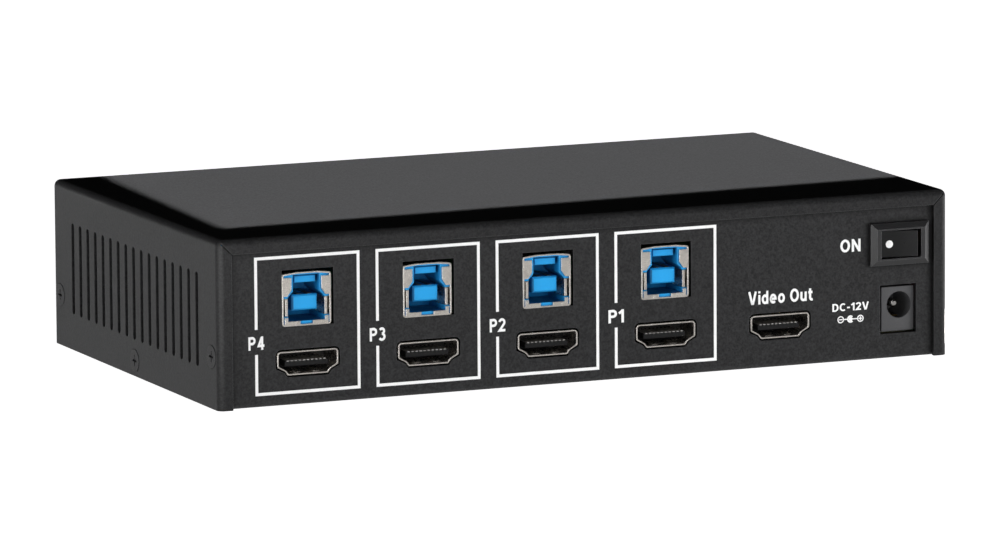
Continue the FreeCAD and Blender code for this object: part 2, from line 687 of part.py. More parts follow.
def uplink_contacts(x):
    """Two contacts above and two below the main tongue, five under the upper one."""
    y0 = REAR - UPLINK_CAVITY
    strips = []
    for u in (-1.25, 1.25):
        strips.append(uplink_at(x, u - 0.5, u + 0.5, y0, REAR - 1.8, 7.0, 7.15))
        strips.append(uplink_at(x, u - 0.5, u + 0.5, y0, REAR - 3.6, 3.2, 3.35))
    for i in range(5):
        u = (i - 2) * 1.0
        strips.append(uplink_at(x, u - 0.25, u + 0.25, y0, REAR - 3.0, 9.68, 9.8))
    return strips


def make_rear_sockets():
    contacts = []
    places = {name: port_x(i) for i, name in enumerate(PORT_NAMES)}
    places["out"] = VIDEO_OUT_X
    for name, x in places.items():
        parts["video_shell_" + name] = video_shell(x)
        parts["video_core_" + name] = video_core(x)
        contacts += video_contacts(x)
    parts["video_contacts"] = group(contacts)
    contacts = []
    for i, name in enumerate(PORT_NAMES):
        x = port_x(i) + UPLINK_OFFSET
        parts["uplink_shell_" + name] = uplink_shell(x)
        parts["uplink_core_" + name] = uplink_core(x)
        contacts += uplink_contacts(x)
    parts["uplink_contacts"] = group(contacts)


# ---------------------------------------------------------------- direct-current inlet
def make_jack():
    """Moulded body, a pin riveted into its back, and the leaf spring under the bore."""
    face = REAR - JACK_RECESS
    back = face - JACK_DEPTH
    bore_floor = face - JACK_BORE_DEPTH
    tail_y = back - 1.5
    x0 = JACK_BODY_X - JACK_WIDTH / 2
    x1 = JACK_BODY_X + JACK_WIDTH / 2
    body = fuse([block(x0, x1, back, face, MAIN_TOP + JACK_LIFT, MAIN_TOP + JACK_HEIGHT),
                 block(x0, x1, back, face - 1.5, MAIN_TOP, MAIN_TOP + JACK_LIFT)])
    low = JACK_AXIS_Z - JACK_BORE_RADIUS
    slot = block(JACK_X - 1.4, JACK_X + 1.4, face - 12.0, face - 2.4, low - 0.5, low + 1.0)
    socket = rod((JACK_X, bore_floor, JACK_AXIS_Z), Y_AXIS, JACK_BORE_RADIUS,
                 JACK_BORE_DEPTH + 1)
    seat = rod((JACK_X, back - 1, JACK_AXIS_Z), Y_AXIS, JACK_BASE_RADIUS, JACK_DEPTH)
    parts["dc_jack_body"] = cut(body, [socket, slot, seat])

    tip = face - JACK_PIN_RECESS
    shoulder = rod((JACK_X, tail_y, JACK_AXIS_Z), Y_AXIS, JACK_BASE_RADIUS,
                   bore_floor + 0.1 - tail_y)
    pin = rod((JACK_X, tail_y, JACK_AXIS_Z), Y_AXIS, JACK_PIN_RADIUS, tip - tail_y)
    rim = edges_where(pin, lambda e: e.Curve.TypeId == "Part::GeomCircle"
                      and e.CenterOfMass.y > tip - 0.01)
    pin = pin.makeFillet(0.6, rim)
    tail = block(JACK_X - 0.9, JACK_X + 0.9, tail_y, back - 1.0, MAIN_TOP, JACK_AXIS_Z)
    parts["dc_jack_pin"] = fuse([pin, shoulder, tail])

    leaf = block(JACK_X - 1.1, JACK_X + 1.1, face - 11.6, face - 3.0, low - 0.35, low + 0.05)
    hook = block(JACK_X - 1.1, JACK_X + 1.1, face - 3.4, face - 3.0, low - 0.35, low + 0.25)
    parts["dc_jack_spring"] = fuse([leaf, hook])


# ---------------------------------------------------------------- rocker switch
def rocker_block(u0, u1, v0, v1, w0, w1):
    """u and w from the rocker's centre, v along +Y from the paddle's pivot."""
    return block(ROCKER_X + u0, ROCKER_X + u1, ROCKER_PIVOT_Y + v0, ROCKER_PIVOT_Y + v1,
                 ROCKER_Z + w0, ROCKER_Z + w1)


def bevelled_bezel():
    """Rectangular bezel whose outer edge is bevelled down to the panel."""
    half_w = BEZEL_WIDTH / 2
    half_h = BEZEL_HEIGHT / 2
    skirt = rocker_block(-half_w, half_w, PANEL_V, PANEL_V + BEZEL_SIDE, -half_h, half_h)
    rings = []
    for inset, v in ((0.0, PANEL_V + BEZEL_SIDE), (BEZEL_BEVEL, PANEL_V + BEZEL_PROUD)):
        y = ROCKER_PIVOT_Y + v
        w = half_w - inset
        h = half_h - inset
        rings.append(wire_of([(ROCKER_X - w, y, ROCKER_Z - h), (ROCKER_X + w, y, ROCKER_Z - h),
                              (ROCKER_X + w, y, ROCKER_Z + h), (ROCKER_X - w, y, ROCKER_Z + h)]))
    return fuse([skirt, Part.makeLoft(rings, True, True)])


def rocker_frame():
    half_w = ROCKER_BODY_WIDTH / 2
    half_h = ROCKER_BODY_HEIGHT / 2
    housing = rocker_block(-half_w, half_w, HOUSING_BACK, PANEL_V + 0.5, -half_h, half_h)
    body = fuse([bevelled_bezel(), housing])
    open_w = ROCKER_OPENING_WIDTH / 2
    open_h = ROCKER_OPENING_HEIGHT / 2
    tools = [rocker_block(-open_w, open_w, HOUSING_FLOOR, PANEL_V + BEZEL_PROUD + 1,
                          -open_h, open_h)]
    pivot = (ROCKER_X, ROCKER_PIVOT_Y, ROCKER_Z - half_h - 1)
    tools.append(rod(pivot, Z_AXIS, TRUNNION_RADIUS + TRUNNION_PLAY, ROCKER_BODY_HEIGHT + 2))
    for u in (0.0, -4.1):
        tools.append(rocker_block(u - 0.3, u + 0.3, HOUSING_BACK - 1, HOUSING_FLOOR + 1,
                                  -1.45, 1.45))
    return cut(body, tools)


def rocker_paddle():
    """Paddle with a hollowed face, two trunnions and a nose that holds the plunger."""
    half = PADDLE_HEIGHT / 2
    z0 = ROCKER_Z - half
    face = ROCKER_FACE
    long = ROCKER_HALF_LENGTH

    def at(u, v):
        return Vector(ROCKER_X + u, ROCKER_PIVOT_Y + v, z0)

    corners = [at(long, face), at(long - 0.3, 0.6), at(1.5, -1.6), at(1.5, -2.6),
               at(-1.5, -2.6), at(-1.5, -1.6), at(-long + 0.3, 0.6), at(-long, face)]
    edges = [Part.makeLine(a, b) for a, b in zip(corners, corners[1:])]
    edges.append(Part.Arc(at(-long, face), at(0, face - ROCKER_HOLLOW), at(long, face)).toShape())
    body = Part.Face(Part.Wire(edges)).extrude(Vector(0, 0, PADDLE_HEIGHT))
    rim = edges_where(body, lambda e: e.CenterOfMass.y > ROCKER_PIVOT_Y + face - 0.5
                      and runs_along(e, Z_AXIS))
    body = body.makeFillet(0.25, rim)
    reach = half + 0.85
    pin = rod((ROCKER_X, ROCKER_PIVOT_Y, ROCKER_Z - reach), Z_AXIS, TRUNNION_RADIUS, 2 * reach)
    body = fuse([body, pin])
    bore = rod((ROCKER_X, ROCKER_PIVOT_Y - 3.6, ROCKER_Z), Y_AXIS, 0.8, 2.8)
    return cut(body, [bore])


def rocker_plunger():
    """Sprung brass pin in the paddle's nose that pushes the contact lever over."""
    tip = 4.55
    body = rod((ROCKER_X, ROCKER_PIVOT_Y - tip, ROCKER_Z), Y_AXIS, 0.72, tip - 0.9)
    rim = edges_where(body, lambda e: e.Curve.TypeId == "Part::GeomCircle"
                      and e.CenterOfMass.y < ROCKER_PIVOT_Y - tip + 0.01)
    return body.makeFillet(0.5, rim)


def make_rocker():
    pivot = Vector(ROCKER_X, ROCKER_PIVOT_Y, ROCKER_Z)
    parts["rocker_frame"] = rocker_frame()
    parts["rocker_paddle"] = turned(rocker_paddle(), pivot, Z_AXIS, -ROCKER_TILT)
    parts["rocker_plunger"] = turned(rocker_plunger(), pivot, Z_AXIS, -ROCKER_TILT)

    v = -LEVER_DROP
    half = LEVER_THICK / 2
    strip = rocker_block(-LEVER_HALF_LENGTH, LEVER_HALF_LENGTH, v - half, v + half, -1.4, 1.4)
    pad = rod((ROCKER_X - LEVER_HALF_LENGTH + 0.9, ROCKER_PIVOT_Y + v - half - 0.3, ROCKER_Z),
              Y_AXIS, 0.7, 0.4)
    lever_pivot = Vector(ROCKER_X, ROCKER_PIVOT_Y + v, ROCKER_Z)
    parts["rocker_lever"] = turned(fuse([strip, pad]), lever_pivot, Z_AXIS, LEVER_TILT)

    lower = HOUSING_BACK - 6.5
    fulcrum = rocker_block(-0.25, 0.25, lower, v - half - 0.15, -1.4, 1.4)
    blade = rocker_block(-4.35, -3.85, lower, HOUSING_FLOOR + 0.8, -1.4, 1.4)
    shelf = rocker_block(-4.35, -2.6, HOUSING_FLOOR + 0.4, HOUSING_FLOOR + 0.8, -1.4, 1.4)
    parts["rocker_terminals"] = group([fulcrum, fuse([blade, shelf])])

    leads = []
    radius = LEAD_BEND
    for u in (0.0, -4.1):
        x = ROCKER_X + u
        y = ROCKER_PIVOT_Y + lower
        bend_y = y - 4.0
        z = ROCKER_Z
        mid = Vector(x, bend_y - radius * math.sin(math.pi / 4),
                     z - radius * (1 - math.cos(math.pi / 4)))
        end = Vector(x, bend_y - radius, z - radius)
        route = Part.Wire([
            Part.makeLine(Vector(x, y, z), Vector(x, bend_y, z)),
            Part.Arc(Vector(x, bend_y, z), mid, end).toShape(),
            Part.makeLine(end, Vector(end.x, end.y, MAIN_TOP)),
        ])
        section = Part.Wire([Part.makeCircle(LEAD_RADIUS, Vector(x, y, z), Y_AXIS)])
        leads.append(route.makePipeShell([section], True, True))
    parts["power_leads"] = group(leads)


# ---------------------------------------------------------------- front panel
def select_button(x):
    """Round cap with a dished face, a retaining collar behind the panel and a stem."""
    face = -REAR - BUTTON_PROUD
    panel_inside = -REAR + SHEET
    cap = rod((x, face, BUTTON_Z), Y_AXIS, BUTTON_RADIUS, panel_inside - face + 0.3)
    rim = edges_where(cap, lambda e: e.Curve.TypeId == "Part::GeomCircle"
                      and e.CenterOfMass.y < face + 0.01)
    cap = cap.makeFillet(0.6, rim)
    collar_y = panel_inside + 0.3
    collar = rod((x, collar_y, BUTTON_Z), Y_AXIS, BUTTON_RADIUS + 0.9, 1.0)
    stem = rod((x, collar_y, BUTTON_Z), Y_AXIS, 1.9, SWITCH_TIP - collar_y)
    dish_radius = 16.0
    dish = Part.makeSphere(dish_radius, Vector(x, face - dish_radius + 0.45, BUTTON_Z))
    return cut(fuse([cap, collar, stem]), [dish])


def switch_body(x):
    """Tact switch housing with four legs through the button board and a plunger hole."""
    half = 3.0
    front = BUTTON_BOARD_FACE - SWITCH_HEIGHT
    body = block(x - half, x + half, front, BUTTON_BOARD_FACE, BUTTON_Z - half, BUTTON_Z + half)
    hole = rod((x, front - 1, BUTTON_Z), Y_AXIS, 1.85, 1 + 1.0 + BUTTON_TRAVEL + 0.3)
    return cut(body, [hole])


def switch_plunger(x):
    front = BUTTON_BOARD_FACE - SWITCH_HEIGHT
    return rod((x, SWITCH_TIP, BUTTON_Z), Y_AXIS, 1.65, front + 1.0 - SWITCH_TIP)


def light_pipe(x):
    """Clear light guide from an indicator on the button board out through the panel."""
    tip = -REAR - 0.6
    pipe = rod((x, tip, LED_Z), Y_AXIS, LED_RADIUS, BUTTON_BOARD_FACE - tip)
    rim = edges_where(pipe, lambda e: e.Curve.TypeId == "Part::GeomCircle"
                      and e.CenterOfMass.y < tip + 0.01)
    pipe = pipe.makeFillet(0.55, rim)
    lamp = block(x - 2.2, x + 2.2, BUTTON_BOARD_FACE - 2.4, BUTTON_BOARD_FACE,
                 LED_Z - 2.2, LED_Z + 2.2)
    return fuse([pipe, lamp])


def make_buttons():
    bodies = []
    lamps = []
    for i in range(BUTTON_COUNT):
        x = button_x(i)
        number = str(i + 1)
        parts["select_button_" + number] = select_button(x)
        parts["switch_plunger_" + number] = switch_plunger(x)
        bodies.append(switch_body(x))
        lamps.append(light_pipe(x))
    parts["switch_bodies"] = group(bodies)
    parts["status_lights"] = group(lamps)


def stack_at(x, u0, u1, d0, d1, w0, w1):
    """A block inside a front socket: d is the depth behind the front panel's outer face."""
    return block(x + u0, x + u1, -REAR + d0, -REAR + d1, UPPER_TOP + w0, UPPER_TOP + w1)


def stack_shell(x):
    """Steel box round two ports, one above the other, with a plate between them."""
    half = STACK_WIDTH / 2
    wall = STACK_WALL
    tube = stack_at(x, -half, half, 0, STACK_DEPTH, 0, STACK_HEIGHT)
    tube = round_corners(tube, Y_AXIS, 0.5)
    hollow = stack_at(x, -half + wall, half - wall, wall, STACK_DEPTH + 1, wall,
                      STACK_HEIGHT - wall)
    tools = [hollow]
    for low in STACK_PORTS:
        tools.append(stack_at(x, -half + wall, half - wall, -1, 1, low, low + PORT_HEIGHT))
    return cut(tube, tools)


def stack_core(x):
    """Blue insulator behind and between the ports, with one tongue in each."""
    half = STACK_WIDTH / 2 - STACK_WALL
    wall = STACK_WALL
    back = stack_at(x, -half, half, STACK_CAVITY, STACK_DEPTH, wall, STACK_HEIGHT - wall)
    pieces = [back]
    between = (STACK_PORTS[0] + PORT_HEIGHT + 0.1, STACK_PORTS[1] - 0.1)
    pieces.append(stack_at(x, -half, half, wall, STACK_CAVITY + 1, *between))
    for low in STACK_PORTS:
        pieces.append(stack_at(x, -5.55, 5.55, 1.2, STACK_CAVITY + 1, low + 2.75, low + 4.6))
    return fuse(pieces)


def stack_contacts(x):
    """Four contacts under each tongue and five more near its root."""
    strips = []
    for low in STACK_PORTS:
        z = low + 2.75
        for u in (-3.5, -1.0, 1.0, 3.5):
            strips.append(stack_at(x, u - 0.5, u + 0.5, 1.9, 8.0, z - 0.15, z))
        for i in range(5):
            u = (i - 2) * 2.0
            strips.append(stack_at(x, u - 0.3, u + 0.3, 8.4, STACK_CAVITY, z - 0.25, z))
    return strips


def make_front_sockets():
    contacts = []
    for name, x in FRONT_SOCKETS.items():
        parts["usb_shell_" + name] = stack_shell(x)
        parts["usb_core_" + name] = stack_core(x)
        contacts += stack_contacts(x)
    parts["usb_contacts"] = group(contacts)


# ---------------------------------------------------------------- electronics on the boards
def chip(x, y, z, side, height):
    body = block(x - side / 2, x + side / 2, y - side / 2, y + side / 2, z, z + height)
    top = edges_where(body, lambda e: abs(e.CenterOfMass.z - z - height) < 0.01)
    return body.makeChamfer(min(0.25, height / 4), top)


def heat_sink():
    side = HEAT_SINK_SIDE
    low = MAIN_TOP + CHIP_HEIGHT
    x0 = CHIP_X - side / 2
    y0 = CHIP_Y - side / 2
    body = block(x0, x0 + side, y0, y0 + side, low, low + HEAT_SINK_HEIGHT)
    fin = 1.2
    count = 8
    gap = (side - count * fin) / (count - 1)
    grooves = [block(x0 + fin + i * (fin + gap), x0 + (i + 1) * (fin + gap), y0 - 1,
                     y0 + side + 1, low + 1.8, low + HEAT_SINK_HEIGHT + 1)
               for i in range(count - 1)]
    return cut(body, grooves)


def capacitor(x, y, radius, height):
    """Aluminium can on a square plastic base."""
    base = block(x - radius, x + radius, y - radius, y + radius, MAIN_TOP, MAIN_TOP + 1.0)
    can = rod((x, y, MAIN_TOP + 1.0), Z_AXIS, radius - 0.1, height - 1.0)
    top = edges_where(can, lambda e: e.Curve.TypeId == "Part::GeomCircle"
                      and e.CenterOfMass.z > MAIN_TOP + height - 0.01)
    return fuse([base, can.makeFillet(0.4, top)])


def board_connectors():
    """Pin header and socket between the boards, and a right-angle row to the button board."""
    half = 5 * PIN_PITCH
    pieces = [block(HEADER_X - half, HEADER_X + half, HEADER_Y - 2.5, HEADER_Y + 2.5,
                    MAIN_TOP, UPPER_TOP - BOARD)]
    for i in range(6):
        x = BUTTON_ROW_X + (i - 2.5) * PIN_PITCH
        foot_y = MAIN_Y[0] + 2.5
        back = BUTTON_BOARD_FACE + BOARD
        z = MAIN_TOP + 4.5
        pin = fuse([block(x - 0.32, x + 0.32, back, foot_y + 0.32, z - 0.32, z + 0.32),
                    block(x - 0.32, x + 0.32, foot_y - 0.32, foot_y + 0.32, MAIN_TOP, z)])
        pieces.append(pin)
    return group(pieces)


def make_electronics():
    parts["video_chip"] = chip(CHIP_X, CHIP_Y, MAIN_TOP, CHIP_SIDE, CHIP_HEIGHT)
    parts["heat_sink"] = heat_sink()
    parts["usb_chips"] = group([chip(x, y, UPPER_TOP, side, height)
                                for x, y, side, height in USB_CHIPS])
    parts["capacitors"] = group([capacitor(*can) for can in CAPACITORS])
    parts["board_connectors"] = board_connectors()


def build():
    make_case()
    make_boards()
    make_hardware()
    make_rear_sockets()
    make_jack()
    make_rocker()
    make_buttons()
    make_front_sockets()
    make_electronics()


def write():
    os.makedirs("parts", exist_ok=True)
    for name, shape in parts.items():
        shape.exportStep("parts/" + name + ".step")
        print(name, "solids", len(shape.Solids), "valid", shape.isValid(),
              "volume", round(shape.Volume, 2))


build()
write()
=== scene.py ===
import json
import math

import bmesh
import bpy
from mathutils import Matrix, Vector


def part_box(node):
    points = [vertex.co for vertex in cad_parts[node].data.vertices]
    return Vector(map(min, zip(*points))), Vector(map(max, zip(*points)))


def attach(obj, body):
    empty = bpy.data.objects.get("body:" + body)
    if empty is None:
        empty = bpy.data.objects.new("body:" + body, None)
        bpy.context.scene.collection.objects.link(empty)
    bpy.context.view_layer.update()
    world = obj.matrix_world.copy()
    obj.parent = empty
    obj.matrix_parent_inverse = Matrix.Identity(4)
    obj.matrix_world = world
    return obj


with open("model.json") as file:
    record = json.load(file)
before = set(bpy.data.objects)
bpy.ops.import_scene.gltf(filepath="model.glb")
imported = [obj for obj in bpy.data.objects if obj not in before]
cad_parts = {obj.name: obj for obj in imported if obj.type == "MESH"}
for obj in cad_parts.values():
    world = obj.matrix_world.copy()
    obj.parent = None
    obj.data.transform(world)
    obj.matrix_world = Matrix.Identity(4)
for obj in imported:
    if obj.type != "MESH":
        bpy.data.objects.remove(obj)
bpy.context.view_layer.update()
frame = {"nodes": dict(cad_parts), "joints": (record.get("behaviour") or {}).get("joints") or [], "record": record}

# The looks of a four-port KVM switch: textured black paint on a folded steel case, plated and
# moulded sockets, white print, and a plain white studio. Lengths are in metres, angles in degrees.
MM = 0.001

# ---------------------------------------------------------------- places taken from the frame
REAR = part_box("chassis")[1].y              # outer face of the rear panel
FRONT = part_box("chassis")[0].y
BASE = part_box("top_cover")[0].z            # underside of the case
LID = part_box("top_cover")[1].z
ROCKER_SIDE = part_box("rocker_frame")[1].x
PORTS = ("p1", "p2", "p3", "p4")

# ---------------------------------------------------------------- camera
CAMERA_AZIMUTH = 156.925
CAMERA_ELEVATION = 8.973
CAMERA_ROLL = -0.385
CAMERA_DISTANCE = 2.142594
CAMERA_RIGHT = 0.00042                     # the camera's shift off the axis through the base
CAMERA_UP = 0.018088
CAMERA_LENS = 325.6
CAMERA_SENSOR = 36

# ---------------------------------------------------------------- studio
WHITE_CARD = (0.8, 0.8, 0.8, 1)
BLACK_CARD = (0, 0, 0, 1)
FLOOR_REACH = 6.0
FLOOR_GLOW = 1.0
FILL_DROP = 0.01                           # how far under the floor the fill card lies
FILL_GLOW = 0.4
GLEAM_DROP = 0.005
GLEAM_CARDS = {                            # corners (x, y) and glow of floor cards seen in gloss
    "left_gleam": (((0.125, 0.08), (1.2, 0.12), (0.9, 1.2), (-0.175, 0.8)), 3.4),
    "right_gleam": (((-0.9, -0.1), (-0.14, 0.0), (-0.16, 0.12), (-0.9, 0.4)), 2.0),
}

LIGHT_AIM = (0, 0, 0.02)
STRIP_Z = 0.06                             # the low strips' middle
STRIP_HEIGHT = 0.12
LIGHTS = (                                 # name, place, width, height, power, the rays it lights
    ("rear_strip", (-0.8, 0.66, STRIP_Z), 0.7, STRIP_HEIGHT, 8.6, ("diffuse",)),
    ("rear_fill", (0.25, 1.6, STRIP_Z), 1.2, STRIP_HEIGHT, 5.9, ("diffuse",)),
    ("gleam", (0.8, 1.2, 0.9), 1.0, 0.8, 12.0, ("glossy",)),
    ("side_strip", (1.5, 0.25, STRIP_Z), 1.2, STRIP_HEIGHT, 15.4, ("diffuse",)),
    ("front_strip", (0.3, -1.5, STRIP_Z), 1.6, STRIP_HEIGHT, 22.0, ("diffuse",)),
    ("far_strip", (-1.5, -0.1, STRIP_Z), 1.2, STRIP_HEIGHT, 15.4, ("diffuse",)),
)

PATCH_REAR_LEFT = (84.1 * MM, 36.9 * MM)   # corners (x, y) of the lit patch on the lid
PATCH_REAR_RIGHT = (-89.9 * MM, 30.0 * MM)
PATCH_FRONT_LEFT = (79.9 * MM, -48.1 * MM)
PANEL_RISE = 0.1                           # the panel that lights the patch, above the lid
PANEL_WIDTH = 0.23
PANEL_DEPTH = 0.12
PANEL_POWER = 0.33
PANEL_SPREAD = 3.0
PANEL_SPARE = 0.02                         # how far the panel passes the flag's edge
FLAG_DROP = 0.01                           # the flag that trims its left end, below the panel
FLAG_REACH = 0.06

# ---------------------------------------------------------------- powder coat
PAINT_DARK = 0.012
PAINT_LIGHT = 0.0295
# paler edges: partly wear, partly a painted highlight on bends and cut edges
PAINT_WEAR_AND_HIGHLIGHT = 0.075
# painted shade: the coat's colour deep in corners and beside the flanges, where shade falls
PAINT_CORNER_SHADE = 0.002
PAINT_EDGE = 0.25 * MM                     # how far its edges look rounded
PAINT_GRAIN = 0.42 * MM
PAINT_PEBBLE = 0.6 * MM
PAINT_FLECK = 0.75 * MM
# how far the painted corner shade reaches
PAINT_SHADE_REACH = 1.8 * MM
COVER_STRENGTH = 0.86                      # the cover's coat is a shade deeper

# ---------------------------------------------------------------- plastic and metal
PLASTIC_EDGE = 0.12 * MM
PLASTIC_CLOUD = 4.0 * MM
# how far the painted corner shade reaches in plastic
PLASTIC_SHADE_REACH = 3.5 * MM
METAL_LINES = 0.08 * MM
SCREW_EDGE = 0.12 * MM

# ---------------------------------------------------------------- print
INK = 0.03 * MM                            # thickness of the white print
INK_STEP = 0.002 * MM                      # by which each slab of it is thicker than the last
MITRE_LIMIT = 0.3                          # keeps the corners of a sharp bend short
LINE = 0.7 * MM                            # width of the printed frames' lines
FRAME_WIDTH = 25.2 * MM
FRAME_LOW = BASE + 3.1 * MM
FRAME_HIGH = BASE + 34.4 * MM
GAP_LOW = BASE + 12.3 * MM                 # the gap in each frame, round its label
GAP_HIGH = BASE + 18.1 * MM
PORT_LABEL_LOW = BASE + 13.4 * MM
PORT_LABEL_WIDTH = 3.9 * MM
PORT_LABEL_HEIGHT = 3.1 * MM

OUT_LABEL_SHIFT = -0.15 * MM               # from the middle of the output socket
OUT_LABEL_LOW = BASE + 15.2 * MM
OUT_LABEL_WIDTH = 16.5 * MM
OUT_LABEL_HEIGHT = 3.1 * MM
SIGNS_X = ROCKER_SIDE + 4.85 * MM          # middle of the signs beside the rocker and the inlet
ON_LABEL_LOW = BASE + 26.0 * MM
ON_LABEL_WIDTH = 5.2 * MM
ON_LABEL_HEIGHT = 3.0 * MM
SUPPLY_LABEL_LOW = BASE + 12.1 * MM
SUPPLY_LABEL_WIDTH = 9.4 * MM
SUPPLY_LABEL_HEIGHT = 1.85 * MM

POLARITY_Z = BASE + 10.1 * MM
POLARITY_HALF = 2.55 * MM                  # from the middle to either ring's centre
POLARITY_RING = 0.72 * MM
POLARITY_BAR = 0.48 * MM                   # half the length of the plus and minus bars
POLARITY_DOT = 0.5 * MM
POLARITY_TAIL = 0.4 * MM                   # how far the plus side's line runs into the cup
POLARITY_LINE = 0.26 * MM
POLARITY_CUP_LINE = 1.3 * POLARITY_LINE

NUMBER_DROP = 3.2 * MM                     # from a front button down to its number's foot
NUMBER_WIDTH = 1.5 * MM
NUMBER_HEIGHT = 2.4 * MM

PADDLE_HALF = 4.6 * MM                     # the rocker paddle's face, as the part has it
PADDLE_RISE = 2.4 * MM                     # from the pivot to the face's end edges
PADDLE_HOLLOW = 0.45 * MM
PADDLE_TILT = -10.0
DOT_ALONG = 2.35 * MM                      # from the pivot to the dot's centre
DOT_RADIUS = 0.9 * MM
DOT_STEPS = 32
DOT_RINGS = (                              # share of the radius, and lift off the face
    (1.0, 0.0),
    (1.0, 0.025 * MM),
    (0.85, 0.04 * MM),
    (0.45, 0.045 * MM),
)


# ---------------------------------------------------------------- camera and lights
def make_camera():
    """A long lens behind the case, a little above it and toward its +X side."""
    azimuth = math.radians(CAMERA_AZIMUTH)
    elevation = math.radians(CAMERA_ELEVATION)
    roll = math.radians(CAMERA_ROLL)
    back = Vector((math.sin(azimuth) * math.cos(elevation),
                   -math.cos(azimuth) * math.cos(elevation), math.sin(elevation)))
    level = (-back).cross(Vector((0, 0, 1))).normalized()
    rise = level.cross(-back)
    right = level * math.cos(roll) + rise * math.sin(roll)
    up = rise * math.cos(roll) - level * math.sin(roll)
    place = back * CAMERA_DISTANCE + right * CAMERA_RIGHT + up * CAMERA_UP
    data = bpy.data.cameras.new("camera")
    data.lens = CAMERA_LENS
    data.sensor_width = CAMERA_SENSOR
    camera = bpy.data.objects.new("camera", data)
    bpy.context.scene.collection.objects.link(camera)
    turn = Matrix((right, up, back)).transposed().to_4x4()
    camera.matrix_world = Matrix.Translation(place + Vector((0, 0, BASE))) @ turn
    bpy.context.scene.camera = camera


def area_light(name, place, aim, width, height, power, seen_by, spread=180.0):
    """A soft box aimed at a point, out of the camera's sight, for the named rays only."""
    data = bpy.data.lights.new(name, "AREA")
    data.shape = "RECTANGLE"
    data.size = width
    data.size_y = height
    data.energy = power
    data.spread = math.radians(spread)
    light = bpy.data.objects.new(name, data)
    light.location = place
    light.rotation_euler = (Vector(aim) - Vector(place)).to_track_quat("-Z", "Y").to_euler()
    light.visible_camera = False
    light.visible_diffuse = "diffuse" in seen_by
    light.visible_glossy = "glossy" in seen_by
    bpy.context.scene.collection.objects.link(light)
    return light


def stage_plane(name, corners, glow, seen_by):
    """A flat studio surface that only the named rays can see: white if it glows, or else black."""
    mesh = bpy.data.meshes.new(name)
    mesh.from_pydata(corners, [], [tuple(range(len(corners)))])
    plane = bpy.data.objects.new(name, mesh)
    bpy.context.scene.collection.objects.link(plane)
    plane.visible_camera = "camera" in seen_by
    plane.visible_diffuse = "diffuse" in seen_by
    plane.visible_glossy = "glossy" in seen_by
    look = Look(name + "_card")
    look.set("Base Color", WHITE_CARD if glow else BLACK_CARD)
    look.set("Roughness", 0.9)
    look.set("Specular IOR Level", 0.0)
    look.set("Emission Color", (1, 1, 1, 1))
    look.set("Emission Strength", glow)
    mesh.materials.append(look.material)
    return plane


def make_world():
    """A white backdrop that only the camera sees, so that it lights nothing."""
    world = bpy.data.worlds.new("studio")
    world.use_nodes = True
    background = world.node_tree.nodes["Background"]
    background.inputs["Color"].default_value = (1, 1, 1, 1)
    background.inputs["Strength"].default_value = 1.0
    world.cycles_visibility.diffuse = False
    world.cycles_visibility.glossy = False
    world.cycles_visibility.transmission = False
    bpy.context.scene.world = world
    bpy.context.scene.view_settings.view_transform = "Standard"


def make_floor():
    """A white paper floor, and under it the cards that light the object and show in its gloss."""
    square = ((-FLOOR_REACH, -FLOOR_REACH), (FLOOR_REACH, -FLOOR_REACH),
              (FLOOR_REACH, FLOOR_REACH), (-FLOOR_REACH, FLOOR_REACH))
    floor = stage_plane("floor", [(x, y, 0.0) for x, y in square], FLOOR_GLOW, ("camera",))
    floor.visible_shadow = False
    stage_plane("fill_card", [(x, y, -FILL_DROP) for x, y in square], FILL_GLOW,
                ("diffuse", "glossy"))
    for name, (corners, glow) in GLEAM_CARDS.items():
        stage_plane(name, [(x, y, -GLEAM_DROP) for x, y in corners], glow, ("glossy",))


def make_lights():
    """Low strips light the upright sides and leave the lid dark; gloss shows one soft box."""
    for name, place, width, height, power, seen_by in LIGHTS:
        area_light(name, place, LIGHT_AIM, width, height, power, seen_by)


def make_lid_patch():
    """A gridded panel above the lid throws a soft-edged patch, short of two of its edges."""
    slope = math.atan2(PATCH_REAR_LEFT[1] - PATCH_REAR_RIGHT[1],
                       PATCH_REAR_LEFT[0] - PATCH_REAR_RIGHT[0])
    along = Vector((math.cos(slope), math.sin(slope), 0))
    inward = Vector((math.sin(slope), -math.cos(slope), 0))
    height = LID + PANEL_RISE
    corner = Vector((*PATCH_REAR_LEFT, height)) + along * PANEL_SPARE
    centre = corner - along * (PANEL_WIDTH / 2) + inward * (PANEL_DEPTH / 2)
    panel = area_light("lid_panel", centre, centre - Vector((0, 0, 1)), PANEL_WIDTH, PANEL_DEPTH,
                       PANEL_POWER, ("diffuse", "glossy"), PANEL_SPREAD)
    panel.rotation_euler = (0, 0, slope)
    rear = Vector((*PATCH_REAR_LEFT, height - FLAG_DROP))
    front = Vector((*PATCH_FRONT_LEFT, height - FLAG_DROP))
    edge = (rear - front).normalized() * FLAG_REACH
    outward = Vector((FLAG_REACH, 0, 0))
    rear = rear + edge
    front = front - edge
    stage_plane("patch_flag", [front, front + outward, rear + outward, rear], 0.0, ())


